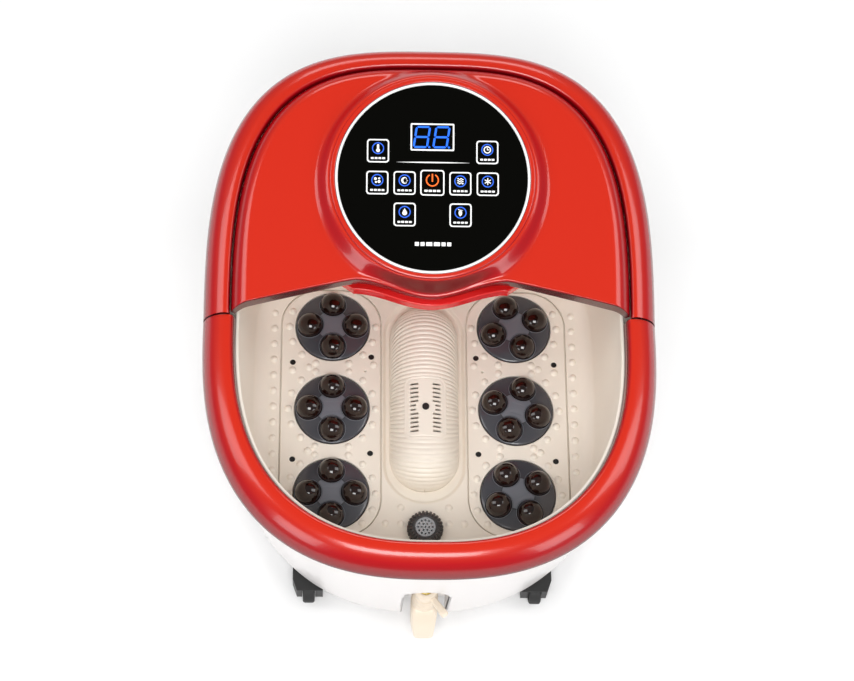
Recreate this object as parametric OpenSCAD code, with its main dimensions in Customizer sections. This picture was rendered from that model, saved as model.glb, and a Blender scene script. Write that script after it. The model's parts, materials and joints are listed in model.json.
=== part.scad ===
// Foot spa basin on casters: heated tub, six motor-driven massage discs with rollers, drain tap and touch panel.
// Frame: +X right, +Y to the back, +Z up. Origin on the ground under the middle of the basin, drain tap at -Y.

/* [Body] */
// Half of the overall width, at the rim
half_w = 200; // [195:1:205]
// Distance from the widest line of the body to the front of the rim
front_reach = 225; // [220:1:228]
// Distance from the widest line of the body to the back of the rim
back_reach = 250; // [246:1:252]
// Height of the rim's lower edge in front
rim_z = 204; // [202:1:206]
// Height of the rim's crest above its lower edge
rim_rise = 24; // [20:1:26]
// Slope of the rear deck, rise over run
deck_slope = 0.26; // [0.2:0.01:0.28]
// Height of the tub floor
floor_z = 84; // [83.5:0.5:84.5]
// Depth of the pockets in the floor that the foot plates and the hump stand in
pocket_depth = 4; // [3.5:0.5:4]
// Height of the shell's lower edge
shell_z = 26; // [26:1:27]
// Wall thickness of the mouldings
wall = 3; // [2.5:0.1:3.2]

/* [Control panel] */
// Tilt of the round panel towards the user
panel_tilt = 15; // [14:1:18]
// Outer radius of the panel's bright ring
panel_r = 85.6; // [84:0.2:86]
// Height of the panel's centre
panel_z = 280; // [279:1:282]
// Distance of the panel's centre behind the origin
panel_y = 98.2; // [97:0.2:99]

/* [Massage discs] */
// Distance of each disc column from the middle
disc_x = 85.5; // [85:0.5:87]
// Spacing of the discs along a column
disc_pitch = 83.5; // [83:0.5:84]
// Middle disc's position along the basin
disc_y = -41; // [-42:1:-40]
// Disc radius
disc_r = 34.2; // [33:0.1:34.4]
// Roller radius
roller_r = 12; // [11:0.1:12]
// Radius of the circle on which a disc's rollers lie
roller_ring = 21; // [20.5:0.1:21.2]
// Teeth of each drive gear, an odd number so that equal gears mesh in a row
gear_teeth = 29; // [27:2:31]

/* [Casters and tap] */
// Wheel radius
wheel_r = 12.2; // [11.5:0.1:12.2]
// Half of the casters' spacing across the basin
wheel_x = 105; // [103:1:107]
// Distance of the tap's valve stem in front of the origin
tap_y = -217; // [-218:1:-216]

/* [Hidden] */
SIDES = [["left", -1], ["right", 1]];
ROWS = [["front", -1], ["middle", 0], ["rear", 1]];
ROLLERS = [0 : 3];

$fn = 64;
eps = 0.01;
run_fit = 0.05;
core_y = -20;           // the body is widest on this line
middle_y = 7.5;         // moves everything back, so that the origin is under the middle of the basin
seam_y = -11;           // the rim is split here
front_power = 2.5;      // squareness of the front and back outlines
back_power = 3.1;
steps = 60;             // points round a moulding's outline

red = [0.83, 0.1, 0.09];
white = [0.95, 0.95, 0.94];
beige = [0.92, 0.86, 0.79];
cream = [0.95, 0.91, 0.84];
dark_grey = [0.17, 0.18, 0.21];
brown = [0.16, 0.07, 0.05];
black = [0.03, 0.03, 0.03];
steel = [0.75, 0.76, 0.78];

// ---- outlines -------------------------------------------------------------------------------------------------

function outline_r(t, a, f, b, nf, nb) =
    let (n = sin(t) < 0 ? nf : nb, reach = sin(t) < 0 ? f : b)
    pow(pow(abs(cos(t)) / a, n) + pow(abs(sin(t)) / reach, n), -1 / n);

function outline_point(t, a, f, b, nf = front_power, nb = back_power) =
    let (r = outline_r(t, a, f, b, nf, nb)) [r * cos(t), core_y + r * sin(t)];

// The rim's outline moved inwards by d
function rim_point(t, d) = outline_point(t, half_w - d, front_reach - d, back_reach - d);

// The rim and deck climb towards the back from the seam
function climb(y) = max(0, deck_slope * (y - seam_y));

function loop_of(a, f, b, nf, nb, z) = [
    for (i = [0 : steps - 1]) let (p = outline_point(i * 360 / steps, a, f, b, nf, nb)) [p.x, p.y, z]
];

// ---- lofts ----------------------------------------------------------------------------------------------------

// Two triangles for each cell between the closed loops i and j
function band(i, j, n) = [
    for (k = [0 : n - 1]) let (m = (k + 1) % n) each [
        [i * n + k, j * n + k, j * n + m],
        [i * n + k, j * n + m, i * n + m]
    ]
];

// A cup or solid: closed loops stacked from the first, capped at both ends
module loft(loops) {
    n = len(loops[0]);
    last = len(loops) - 1;
    polyhedron(
        points = [for (l = loops) each l],
        faces = concat(
            [[for (k = [0 : n - 1]) k]],
            [for (i = [0 : last - 1]) each band(i, i + 1, n)],
            [[for (k = [n - 1 : -1 : 0]) last * n + k]]
        ),
        convexity = 6
    );
}

// A closed ring: loops follow one another round the section, and the last joins the first
module ring_loft(loops) {
    n = len(loops[0]);
    count = len(loops);
    polyhedron(
        points = [for (l = loops) each l],
        faces = [for (i = [0 : count - 1]) each band(i, (i + 1) % count, n)],
        convexity = 6
    );
}

// A section swept along an open path: each loop is one section, and the ends are capped
module sweep(sections) {
    n = len(sections[0]);
    last = len(sections) - 1;
    polyhedron(
        points = [for (s = sections) each s],
        faces = concat(
            [[for (k = [n - 1 : -1 : 0]) k]],
            [for (i = [0 : last - 1]) each [for (f = band(i, i + 1, n)) [f[0], f[2], f[1]]]],
            [[for (k = [0 : n - 1]) last * n + k]]
        ),
        convexity = 6
    );
}

// ---- body mouldings -------------------------------------------------------------------------------------------

shell_bottom = [172, 199, 235];
shell_top_inset = 6;
shell_top = rim_z + 2;

function shell_loop(level, inset) =
    let (top = [half_w, front_reach, back_reach] - [1, 1, 1] * shell_top_inset,
         bulge = pow(level, 0.75),
         s = shell_bottom * (1 - bulge) + top * bulge - [1, 1, 1] * inset,
         nf = 2.3 + 0.2 * bulge, nb = 2.8 + 0.2 * bulge)
    [for (i = [0 : steps - 1])
        let (p = outline_point(i * 360 / steps, s[0], s[1], s[2], nf, nb),
             top_z = shell_top + climb(p.y))
        [p.x, p.y, shell_z + level * (top_z - shell_z)]];

shell_levels = [0, 0.15, 0.35, 0.6, 0.8, 1];
niche_half_w = 20;
niche_depth_y = -203;
niche_arch_z = 108;

module shell_solid() {
    loft([for (level = shell_levels) shell_loop(level, 0)]);
}

module shell_wall() {
    ring_loft(concat(
        [for (level = shell_levels) shell_loop(level, 0)],
        [for (k = [len(shell_levels) - 1 : -1 : 0]) shell_loop(shell_levels[k], wall)]
    ));
}

// The recess in the front of the shell that the tap stands in
module niche(grow) {
    back_y = niche_depth_y + grow;
    translate([0, back_y, 0])
        rotate([90, 0, 0])
            linear_extrude(height = 60)
                union() {
                    translate([-niche_half_w - grow, shell_z - 5])
                        square([2 * (niche_half_w + grow), niche_arch_z - shell_z + 5]);
                    translate([0, niche_arch_z])
                        circle(r = niche_half_w + grow);
                }
}

shell_bosses = [[-156, -60], [156, -60], [-158, 60], [158, 60], [-84, 182], [84, 182]];
boss_r = 6;
boss_top = 62;
boss_web = 4;
screw_r = 1.6;
gland_pos = [-70, 208, 48];
gland_r = 9;

module outer_shell() {
    color(white)
    difference() {
        union() {
            shell_wall();
            intersection() {
                shell_solid();
                union() {
                    niche(2.5);
                    for (p = shell_bosses)
                        translate([p.x, p.y, shell_z + wall + 0.3])
                            rotate([0, 0, atan2(p.y - core_y, p.x)])
                                translate([0, -boss_web / 2, 0])
                                    cube([40, boss_web, boss_top - shell_z - wall - 6]);
                }
            }
            for (p = shell_bosses)
                translate([p.x, p.y, shell_z + wall + 0.3])
                    cylinder(r = boss_r, h = boss_top - shell_z - wall);
        }
        niche(0);
        for (p = shell_bosses)
            translate([p.x, p.y, shell_z])
                cylinder(r = screw_r, h = 22);
        translate([0, niche_depth_y - 5, tap_z])
            rotate([-90, 0, 0])
                cylinder(r = tap_inlet_r + 0.3, h = 20);
        translate(gland_pos)
            rotate([90, 0, 0])
                translate([0, 0, -20])
                    cylinder(r = gland_r, h = 40);
    }
}

post_r = 8;
post_top = 48;
spigot_r = 4;

module base_plate() {
    inset = wall + 0.4;
    size = shell_bottom - [1, 1, 1] * inset;
    color(white)
    difference() {
        union() {
            translate([0, 0, shell_z])
                linear_extrude(height = wall)
                    difference() {
                        polygon([for (i = [0 : steps - 1])
                            outline_point(i * 360 / steps, size[0], size[1], size[2], 2.3, 2.8)]);
                        translate([-niche_half_w - 3, -front_reach - 30])
                            square([2 * niche_half_w + 6, front_reach + 30 + niche_depth_y + 3]);
                    }
            for (side = SIDES)
                for (row = [-1, 1])
                    translate([side[1] * disc_x, disc_y + row * disc_pitch, shell_z + wall - eps])
                        cylinder(r = post_r, h = post_top - shell_z - wall);
        }
        for (side = SIDES)
            for (row = [-1, 1])
                translate([side[1] * disc_x, disc_y + row * disc_pitch, shell_z + wall + 3])
                    cylinder(r = spigot_r + run_fit, h = post_top);
        for (p = shell_bosses)
            translate([p.x, p.y, shell_z - 5])
                cylinder(r = screw_r, h = 20);
    }
}

// ---- tub ------------------------------------------------------------------------------------------------------

pocket_z = floor_z - pocket_depth;
tub_top_z = 215.5;
tub_top_inset = 32;
tub_back_y = 128;
tub_foot = [157.5, 168, 138];
tub_front_power = [3.2, 2.5];       // squareness of the tub's front at its foot and at its top
well_r = 36;
well_z = 71;
shaft_r = 5;
drain_pos = [0, -158.6];
drain_hole_r = 6.5;
drain_spigot_r = 8;
flange_z = rim_z - 1;
flange_size = [half_w - 14, front_reach - 10.5, back_reach - 20];

function tub_loop(level, inset, z) =
    let (top = [half_w - tub_top_inset, front_reach - tub_top_inset, tub_back_y - core_y],
         s = tub_foot * (1 - level) + top * level + [1, 1, 1] * inset)
    loop_of(s[0], s[1], s[2], tub_front_power[0] * (1 - level) + tub_front_power[1] * level, 4, z);

module tub_shell() {
    loft([
        tub_loop(0, -8, pocket_z - wall),
        tub_loop(0.02, 0, pocket_z),
        tub_loop(0.1, wall, pocket_z + 9),
        tub_loop(1, wall, tub_top_z),
        tub_loop(1, 0, tub_top_z),
        tub_loop(0.1, 0, floor_z + 9),
        tub_loop(0.02, -3, floor_z + 2.5),
        tub_loop(0, -10, floor_z)
    ]);
}

module disc_places() {
    for (side = SIDES)
        for (row = ROWS)
            translate([side[1] * disc_x, disc_y + row[1] * disc_pitch, 0])
                children();
}

heater_x = 14;
heater_z = 94;
heater_r = 4;
heater_back_y = 40;
heater_terminal_z = 62;
pump_outlet = [0, 124, 100];
pump_hose_r = 6;

// A strip along Y with a round front and back
module round_ended(r, front_y, back_y) {
    for (y = [front_y + r, back_y - r])
        translate([0, y])
            circle(r = r);
    translate([-r, front_y + r])
        square([2 * r, back_y - front_y - 2 * r]);
}

// The floor's pockets: one round each foot plate and a trough round the hump
module floor_pockets() {
    translate([0, 0, pocket_z]) {
        for (side = [0, 1])
            mirror([side, 0, 0])
                linear_extrude(height = pocket_depth + 8)
                    offset(delta = plate_gap)
                        plate_shape();
        linear_extrude(height = pocket_depth + 1)
            round_ended(trough_half_w, trough_front_y, trough_back_y);
    }
}

module inner_basin() {
    color(beige)
    difference() {
        union() {
            difference() {
                tub_shell();
                floor_pockets();
            }
            for (side = [-1, 1])
                for (p = floor_nubs)
                    translate([side * p.x, p.y, floor_z - nub_sink])
                        sphere(r = nub_r, $fn = 32);
            translate([0, 0, flange_z])
                linear_extrude(height = wall)
                    difference() {
                        polygon([for (i = [0 : steps - 1])
                            outline_point(i * 360 / steps, flange_size[0], flange_size[1], flange_size[2])]);
                        polygon([for (p = tub_loop(1, 1, 0)) [p.x, p.y]]);
                        translate([-110, tub_back_y + 18])
                            square([220, 45]);
                    }
            disc_places() {
                translate([0, 0, well_z - wall])
                    cylinder(r = well_r + 2.5, h = pocket_z - well_z + wall - 1);
                translate([0, 0, 60])
                    cylinder(r = shaft_r + 4, h = well_z - 61);
            }
            translate([drain_pos.x, drain_pos.y, tap_z + tap_bend + 0.4])
                cylinder(r = drain_spigot_r, h = floor_z - 1 - tap_z - tap_bend);
            translate([0, grille_y, pocket_z - 1])
                cylinder(r = grille_post_r, h = hump_axis_z + hump_r - hump_wall - pocket_z + 0.9);
        }
        for (side = [-1, 1])
            for (p = plate_screws)
                translate([side * p.x, p.y, pocket_z - 2])
                    cylinder(r = plate_shank_r, h = 6);
        translate([0, grille_y, 100])
            cylinder(r = grille_screw_r, h = 20);
        disc_places() {
            translate([0, 0, well_z])
                cylinder(r = well_r, h = 20);
            translate([0, 0, 50])
                cylinder(r = shaft_r + run_fit, h = 40);
        }
        translate([drain_pos.x, drain_pos.y, 50])
            cylinder(r = drain_hole_r, h = 60);
        for (side = [-1, 1])
            translate([side * heater_x, heater_back_y, 60])
                cylinder(r = heater_r, h = 30);
        translate(pump_outlet)
            rotate([-90, 0, 0])
                translate([0, 0, -20])
                    cylinder(r = pump_hose_r, h = 60);
    }
}

plate_in_x = 40.5;
plate_w = 92.5;
plate_front_y = -165;
plate_back_y = 80;
plate_corner = 36;
plate_t = pocket_depth;
plate_gap = 1.2;
plate_hole_r = 35;
plate_screws = [[122.5, 6], [121.5, -91], [49.2, 12], [50, -84.6]];
plate_screw_hole_r = 2.7;
plate_shank_r = 1.5;
nub_r = 3.2;
nub_sink = 0.75;        // how deep a nub's centre lies in the plate
nub_ring_r = 40.5;
nub_turn = 22.5;
floor_nub_x = 140;
floor_nub_pitch = 15.8;
floor_nubs = concat(
    [for (k = [0 : 10]) [floor_nub_x, -102 + k * floor_nub_pitch]],
    [[22, -137.6], [22, -153], [36, -153]]
);

// A nub stays clear of the screws and of the plate's edge
function nub_fits(p) =
    let (heads = [for (s = plate_screws) norm(p - s)],
         y0 = plate_front_y + plate_corner,
         y1 = plate_back_y - plate_corner,
         past = p.y < y0 ? y0 - p.y : p.y > y1 ? p.y - y1 : 0,
         side = max(0, abs(p.x - plate_in_x - plate_w / 2) - plate_w / 2 + plate_corner))
    min(heads) > plate_screw_hole_r + nub_r + 0.6 && norm([side, past]) < plate_corner - nub_r - 0.8;

// A ring of nubs round each disc, without the ones straight between two discs, and a few in the gaps
nubs = [
    for (p = concat(
        [for (row = [-1 : 1])
            for (k = [0 : 15])
                if (!(k == 4 && row < 1) && !(k == 12 && row > -1))
                    [disc_x, disc_y + row * disc_pitch] + nub_ring_r * [cos(k * nub_turn), sin(k * nub_turn)]],
        [for (gap = [-0.5, 0.5])
            for (q = [[37, -3], [-38.5, 3], [22, 0]])
                [disc_x + q.x, disc_y + gap * disc_pitch + q.y]]))
        if (nub_fits(p)) p
];

module plate_outline() {
    x0 = plate_in_x + plate_corner;
    x1 = plate_in_x + plate_w - plate_corner;
    y0 = plate_front_y + plate_corner;
    y1 = plate_back_y - plate_corner;
    for (x = [x0, x1])
        for (y = [y0, y1])
            translate([x, y])
                circle(r = plate_corner);
    translate([plate_in_x, y0])
        square([plate_w, y1 - y0]);
    translate([x0, plate_front_y])
        square([x1 - x0, plate_back_y - plate_front_y]);
}

module plate_shape() {
    intersection() {
        plate_outline();
        polygon([for (p = tub_loop(0, -4, 0)) [p.x, p.y]]);
    }
}

module foot_plate(mirrored) {
    color(beige)
    mirror([mirrored, 0, 0])
        difference() {
            union() {
                translate([0, 0, pocket_z])
                    linear_extrude(height = plate_t)
                        plate_shape();
                for (p = nubs)
                    translate([p.x, p.y, floor_z - nub_sink])
                        sphere(r = nub_r, $fn = 32);
            }
            for (row = ROWS)
                translate([disc_x, disc_y + row[1] * disc_pitch, pocket_z - 1])
                    cylinder(r = plate_hole_r, h = 20);
            for (p = plate_screws)
                translate([p.x, p.y, pocket_z + 1.5])
                    cylinder(r = plate_screw_hole_r, h = 10);
            for (p = plate_screws)
                translate([p.x, p.y, pocket_z - 1])
                    cylinder(r = plate_shank_r, h = 10);
        }
}

hump_r = 32;
hump_wall = 3;
hump_axis_z = 84;
hump_front_y = -121;
hump_back_y = 60;
trough_half_w = 37;
trough_front_y = -132;
trough_back_y = 71;
grille_post_r = 5;
grille_screw_r = 2;
grille_y = -51;
slot_pitch = 4.2;
slot_w = 1.8;
slot_l = 7.3;
slot_x = 10.5;
slot_rows = 12;

// A half-round bar with a domed front and back, on an upright skirt
module hump_form(inset) {
    r = hump_r - inset;
    translate([0, hump_front_y + hump_r, hump_axis_z])
        rotate([-90, 0, 0])
            cylinder(r = r, h = hump_back_y - hump_front_y - 2 * hump_r);
    for (y = [hump_front_y + hump_r, hump_back_y - hump_r])
        translate([0, y, hump_axis_z])
            sphere(r = r);
    translate([0, 0, pocket_z - 10])
        linear_extrude(height = hump_axis_z - pocket_z + 10)
            round_ended(r, hump_front_y + inset, hump_back_y - inset);
}

module hump_cover() {
    color(beige)
    difference() {
        hump_form(0);
        hump_form(hump_wall);
        translate([-60, -200, pocket_z - 60])
            cube([120, 400, 60]);
        for (k = [0 : slot_rows - 1])
            for (side = [-1, 1])
                translate([side * slot_x, grille_y + (k - (slot_rows - 1) / 2) * slot_pitch, 115])
                    cube([slot_l, slot_w, 30], center = true);
        translate([0, grille_y, 100])
            cylinder(r = grille_screw_r, h = 30);
    }
}

strainer_r = 16.5;
grid_r = 9;

module drain_strainer() {
    color(dark_grey)
    translate([drain_pos.x, drain_pos.y, floor_z])
        difference() {
            union() {
                cylinder(r = strainer_r, h = 6);
                translate([0, 0, 6 - eps])
                    cylinder(r1 = strainer_r, r2 = grid_r + 2, h = 3);
            }
            translate([0, 0, -1])
                cylinder(r = grid_r, h = 7.5);
            for (ring = [[1, 0], [6, 3.2], [12, 6.4]])
                for (k = [0 : ring[0] - 1])
                    rotate([0, 0, k * 360 / ring[0]])
                        translate([ring[1], 0, -1])
                            cylinder(r = 0.8, h = 12);
            for (k = [0 : 27])
                rotate([0, 0, k * 360 / 28])
                    translate([strainer_r, 0, 1])
                        cylinder(r = 0.7, h = 10, $fn = 24);
        }
}

// ---- red rim and cover ----------------------------------------------------------------------------------------

// Outer skin of the rim's section: [distance in from the outer edge, height above its lower edge]
rim_skin = [[0, 0], [1, 6], [4, 12.5], [9, 18.5], [15, 22.5], [21, 24], [25, 23.6], [27.5, 20], [29, 12]];
rim_inside = [[26.6, 12], [25.2, 18.2], [23.5, 21.2], [15.5, 20], [10.5, 16.3], [6.4, 11.3], [3.5, 5.4], [2.5, 0]];
// The rear band ends in the groove beside the cover
band_skin = [[0, 0], [1, 7], [4, 14], [9, 20.2], [15, 24.6], [20, 26], [23, 25], [24.2, 21]];
band_inside = [[22, 20.8], [20.6, 22.6], [15.6, 22], [10.6, 18], [6.4, 12.6], [3.5, 6], [2.5, 0]];
seam_turn = 2.6;        // the polar angle of the seam, seen from the body's widest line
seam_gap = 0.31;

module rim_part(from, to, section, count) {
    scale_z = rim_rise / 24;
    color(red)
    sweep([
        for (i = [0 : count])
            let (t = from + (to - from) * i / count)
            [for (s = section) let (p = rim_point(t, s[0])) [p.x, p.y, rim_z + s[1] * scale_z + climb(p.y)]]
    ]);
}

module front_rim() {
    rim_part(-180 - seam_turn, seam_turn, concat(rim_skin, rim_inside), 48);
}

module rear_rim() {
    rim_part(seam_turn + seam_gap, 180 - seam_turn - seam_gap, concat(band_skin, band_inside), 48);
}

cover_inset = 25;
cover_t = 2.5;
skirt = 15;
shoulder_w = 15;
shoulder_drop = 14;
deck_z0 = 242;          // the deck's height at the seam
peak_x = 67;            // the cover's front edge comes to a peak on each side of the pod
peak_y = 14;
lip_y = 3;
lip_drop = 9;
edge_end = [174.6, -9];
edge_count = 24;
ring_gap = 0.9;         // room around the panel ring in the cover

function smooth(t) = let (c = max(0, min(1, t))) c * c * (3 - 2 * c);

function deck_height(p) =
    let (q = [p.x, p.y - core_y],
         n = q.y < 0 ? front_power : back_power,
         reach = (q.y < 0 ? front_reach : back_reach) - cover_inset,
         g = pow(pow(abs(q.x) / (half_w - cover_inset), n) + pow(abs(q.y) / reach, n), 1 / n),
         from_seam = norm(q) * (1 / g - 1),
         drop = max(0, 1 - from_seam / shoulder_w))
    deck_z0 + deck_slope * (p.y - edge_end.y) - shoulder_drop * drop * drop;

// The front edge in plan, for x from -edge_end.x to +edge_end.x
function front_edge(x) =
    let (a = abs(x))
    a < peak_x
        ? [x, lip_y + (peak_y - lip_y) * smooth(a / peak_x)]
        : [x, peak_y + (edge_end.y - peak_y) * pow((a - peak_x) / (edge_end.x - peak_x), 1.1)];

function lip_dip(x) = lip_drop * (1 - smooth(abs(x) / peak_x));

cover_turn = 4.2;       // the polar angle where the cover's side begins
cover_edge = concat(
    [for (i = [0 : edge_count]) front_edge(edge_end.x * (2 * i / edge_count - 1))],
    [for (i = [0 : steps - 1]) rim_point(cover_turn + (180 - 2 * cover_turn) * i / (steps - 1), cover_inset)]
);

function edge_z(p) =
    deck_height(p) - (abs(p.x) < peak_x && p.y < peak_y + 1 ? lip_dip(p.x) : 0);

panel_down = [0, -cos(panel_tilt), -sin(panel_tilt)];
panel_normal = [0, -sin(panel_tilt), cos(panel_tilt)];
panel_centre = [0, panel_y, panel_z];

// A circle of radius r in the panel's plane, sunk by depth, with its points facing the cover's edge points
function panel_loop(r, depth) = [
    for (p = cover_edge)
        let (v = [p.x, p.y - panel_y], u = v / norm(v))
        panel_centre + r * u.x * [1, 0, 0] - r * u.y * panel_down - depth * panel_normal
];

bezel_r = 90;
foot_reach = 12;        // how far the pod's slope runs out onto the deck

// Points from the pod's foot (0) to the cover's edge (1), on the deck's surface lowered by down
function deck_loop(t, back, down) = [
    for (p = cover_edge)
        let (v = [p.x, p.y - panel_y], u = v / norm(v),
             foot = [0, panel_y] + u * min(norm(v) - 1.5, (bezel_r + foot_reach)),
             end = p - back * u,
             q = foot + (end - foot) * t)
        [q.x, q.y, deck_height(q) + (edge_z(p) - deck_height(p)) * (0.5 + 0.5 * t) - down]
];

module rear_cover() {
    color(red)
    ring_loft([
        panel_loop(panel_r + ring_gap, 0.5),
        panel_loop(bezel_r, 0),
        panel_loop(bezel_r + 2.5, 1.5),
        deck_loop(0, 0, 0),
        deck_loop(0.35, 0, 0),
        deck_loop(0.65, 0, 0),
        deck_loop(0.82, 0, 0),
        deck_loop(0.92, 0, 0),
        deck_loop(1, 0, 0),
        deck_loop(1, 0, skirt),
        deck_loop(1, cover_t, skirt),
        deck_loop(1, cover_t, cover_t),
        deck_loop(0.8, cover_t, cover_t + 0.5),
        deck_loop(0.5, cover_t, cover_t + 0.5),
        deck_loop(0.1, cover_t, cover_t + 2),
        panel_loop(bezel_r + 0.5, 5),
        panel_loop(panel_r + ring_gap, 5)
    ]);
}

pod_z = 218;
pod_h = 9.5;
pod_wall = 1.8;

function pod_outline(inset) = concat(
    [for (i = [0 : 12]) let (x = 68 * (i / 6 - 1), e = front_edge(x))
        [x * (1 - inset / 68), e.y - 4 * (1 - smooth(abs(x) / 68)) + inset]],
    [[105 - inset, 40], [105 - inset, 114 - inset], [-105 + inset, 114 - inset], [-105 + inset, 40]]
);

module pod_underside() {
    color(red)
    translate([0, 0, pod_z])
        difference() {
            linear_extrude(height = pod_h)
                polygon(pod_outline(0));
            translate([0, 0, pod_wall])
                linear_extrude(height = pod_h)
                    polygon(pod_outline(pod_wall));
        }
}

// ---- control panel --------------------------------------------------------------------------------------------

module on_panel() {
    translate(panel_centre)
        rotate([panel_tilt, 0, 0])
            children();
}

ring_w = 2.4;

module panel_glass() {
    color(black)
    on_panel()
        translate([0, 0, -3.4])
            cylinder(r = panel_r - ring_w, h = 3);
}

module panel_ring() {
    color(steel)
    on_panel()
        translate([0, 0, -4])
            difference() {
                cylinder(r = panel_r, h = 4.4);
                translate([0, 0, -1])
                    cylinder(r = panel_r - ring_w, h = 8);
            }
}

module control_board() {
    color([0.1, 0.35, 0.2])
    on_panel() {
        translate([-58, -42, -14])
            cube([116, 92, 1.6]);
        translate([-22, 26, -12.4])
            cube([44, 26, 8.4]);
        for (side = [-1, 1])
            for (end = [-38, 44])
                translate([side * 52, end, -12.4])
                    cylinder(r = 3, h = 9);
    }
}

// ---- discs and rollers ----------------------------------------------------------------------------------------

disc_bottom = 72;
disc_edge_z = 84;
dome_h = 5;
roller_z = 86.5;
pocket_gap = 0.35;
axle_r = 2;
axle_tip = 8;           // how far an axle runs past the roller's middle
hub_depth = 6;
gear_z = 48.4;
gear_h = 7.6;

function disc_phase(side, row) = side < 0 ? 0 : row == 1 ? 21 : row == 0 ? -18 : 30;

module dome(r, grow = 0) {
    ball = (disc_r * disc_r + dome_h * dome_h) / (2 * dome_h);
    intersection() {
        translate([0, 0, disc_bottom])
            cylinder(r = r, h = 30);
        translate([0, 0, disc_edge_z + dome_h - ball])
            sphere(r = ball + grow, $fn = 200);
    }
}

module pockets(r) {
    for (k = ROLLERS)
        rotate([0, 0, 90 * k])
            translate([roller_ring, 0, roller_z])
                sphere(r = r);
}

module spider(r) {
    for (k = ROLLERS)
        rotate([0, 0, 90 * k])
            translate([0, 0, roller_z])
                rotate([0, 90, 0])
                    cylinder(r = r, h = roller_ring + axle_tip);
}

module disc_body() {
    difference() {
        dome(disc_r);
        pockets(roller_r + pocket_gap);
        intersection() {
            translate([0, 0, roller_z - 3])
                cylinder(r = 14, h = 10);
            union() {
                spider(axle_r + 0.02);
                translate([0, 0, roller_z])
                    cylinder(r = 8, h = 10);
            }
        }
        translate([0, 0, disc_bottom - 1])
            cylinder(r = shaft_r + 0.02, h = hub_depth + 1);
    }
}

module star_cap() {
    difference() {
        translate([0, 0, roller_z + axle_r + 0.1])
            cylinder(r = 7.9, h = 1.4);
        pockets(roller_r + pocket_gap + 0.2);
    }
}

tooth_pitch = 360 / gear_teeth;
pitch_r = disc_pitch / 2;
module_size = 2 * pitch_r / gear_teeth;
tip_r = pitch_r + 0.75 * module_size;
root_r = pitch_r - 1.05 * module_size;

module gear() {
    translate([0, 0, gear_z])
        linear_extrude(height = gear_h)
            polygon([
                for (k = [0 : gear_teeth - 1])
                    for (c = [[root_r, -0.27], [tip_r, -0.1], [tip_r, 0.1], [root_r, 0.27]])
                        let (t = 90 + (k + c[1]) * tooth_pitch)
                        c[0] * [cos(t), sin(t)]
            ]);
}

module disc_drive() {
    gear();
    translate([0, 0, gear_z + gear_h - eps])
        cylinder(r = shaft_r, h = disc_bottom + hub_depth - 0.1 - gear_z - gear_h);
    translate([0, 0, 34])
        cylinder(r = spigot_r, h = gear_z - 34 + eps);
}

module massage_disc(side, row) {
    translate([side * disc_x, disc_y + row * disc_pitch, 0]) {
        color(dark_grey)
            rotate([0, 0, disc_phase(side, row)]) {
                disc_body();
                star_cap();
            }
        color(steel)
            rotate([0, 0, disc_phase(side, row)])
                spider(axle_r);
        color(white)
            disc_drive();
    }
}

module roller(side, row, k) {
    color(brown)
    translate([side * disc_x, disc_y + row * disc_pitch, roller_z])
        rotate([0, 0, disc_phase(side, row) + 90 * k])
            translate([roller_ring, 0, 0])
                rotate([0, 90, 0])
                    difference() {
                        sphere(r = roller_r);
                        translate([0, 0, -roller_r - 1])
                            cylinder(r = axle_r + run_fit, h = roller_r + 1 + axle_tip + 0.4);
                    }
}

module gear_motors() {
    color(steel)
    for (side = SIDES)
        translate([side[1] * disc_x, disc_y, 0])
            difference() {
                union() {
                    translate([-24, -22, shell_z + wall])
                        cube([48, 44, 13]);
                    translate([0, 0, shell_z + wall + 13 - eps])
                        cylinder(r = post_r, h = post_top - shell_z - wall - 13);
                }
                translate([0, 0, shell_z + wall + 3])
                    cylinder(r = spigot_r + run_fit, h = 40);
            }
}

// ---- water ----------------------------------------------------------------------------------------------------

module heater_tube() {
    bend = 10;
    color(steel) {
        for (side = [-1, 1]) {
            translate([side * heater_x, hump_front_y + 40, heater_z])
                rotate([-90, 0, 0])
                    cylinder(r = heater_r, h = heater_back_y - bend - hump_front_y - 40 + eps);
            translate([side * heater_x, heater_back_y - bend, heater_z - bend])
                rotate([0, -90, 0])
                    rotate_extrude(angle = 90)
                        translate([bend, 0])
                            circle(r = heater_r, $fn = 32);
            translate([side * heater_x, heater_back_y, heater_terminal_z])
                cylinder(r = heater_r, h = heater_z - bend - heater_terminal_z + eps);
        }
        translate([0, hump_front_y + 40, heater_z])
            rotate([0, 0, 180])
                rotate_extrude(angle = 180)
                    translate([heater_x, 0])
                        circle(r = heater_r, $fn = 32);
    }
}

pump_y = 178;

module circulation_pump() {
    color(black) {
        translate([-34, pump_y, shell_z + wall + 24])
            rotate([0, 90, 0])
                cylinder(r = 22, h = 60);
        translate([-30, pump_y - 20, shell_z + wall])
            cube([52, 40, 12]);
        translate([pump_outlet.x, pump_y, shell_z + wall + 40])
            cylinder(r = pump_hose_r - 1.5, h = 14);
    }
}

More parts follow.
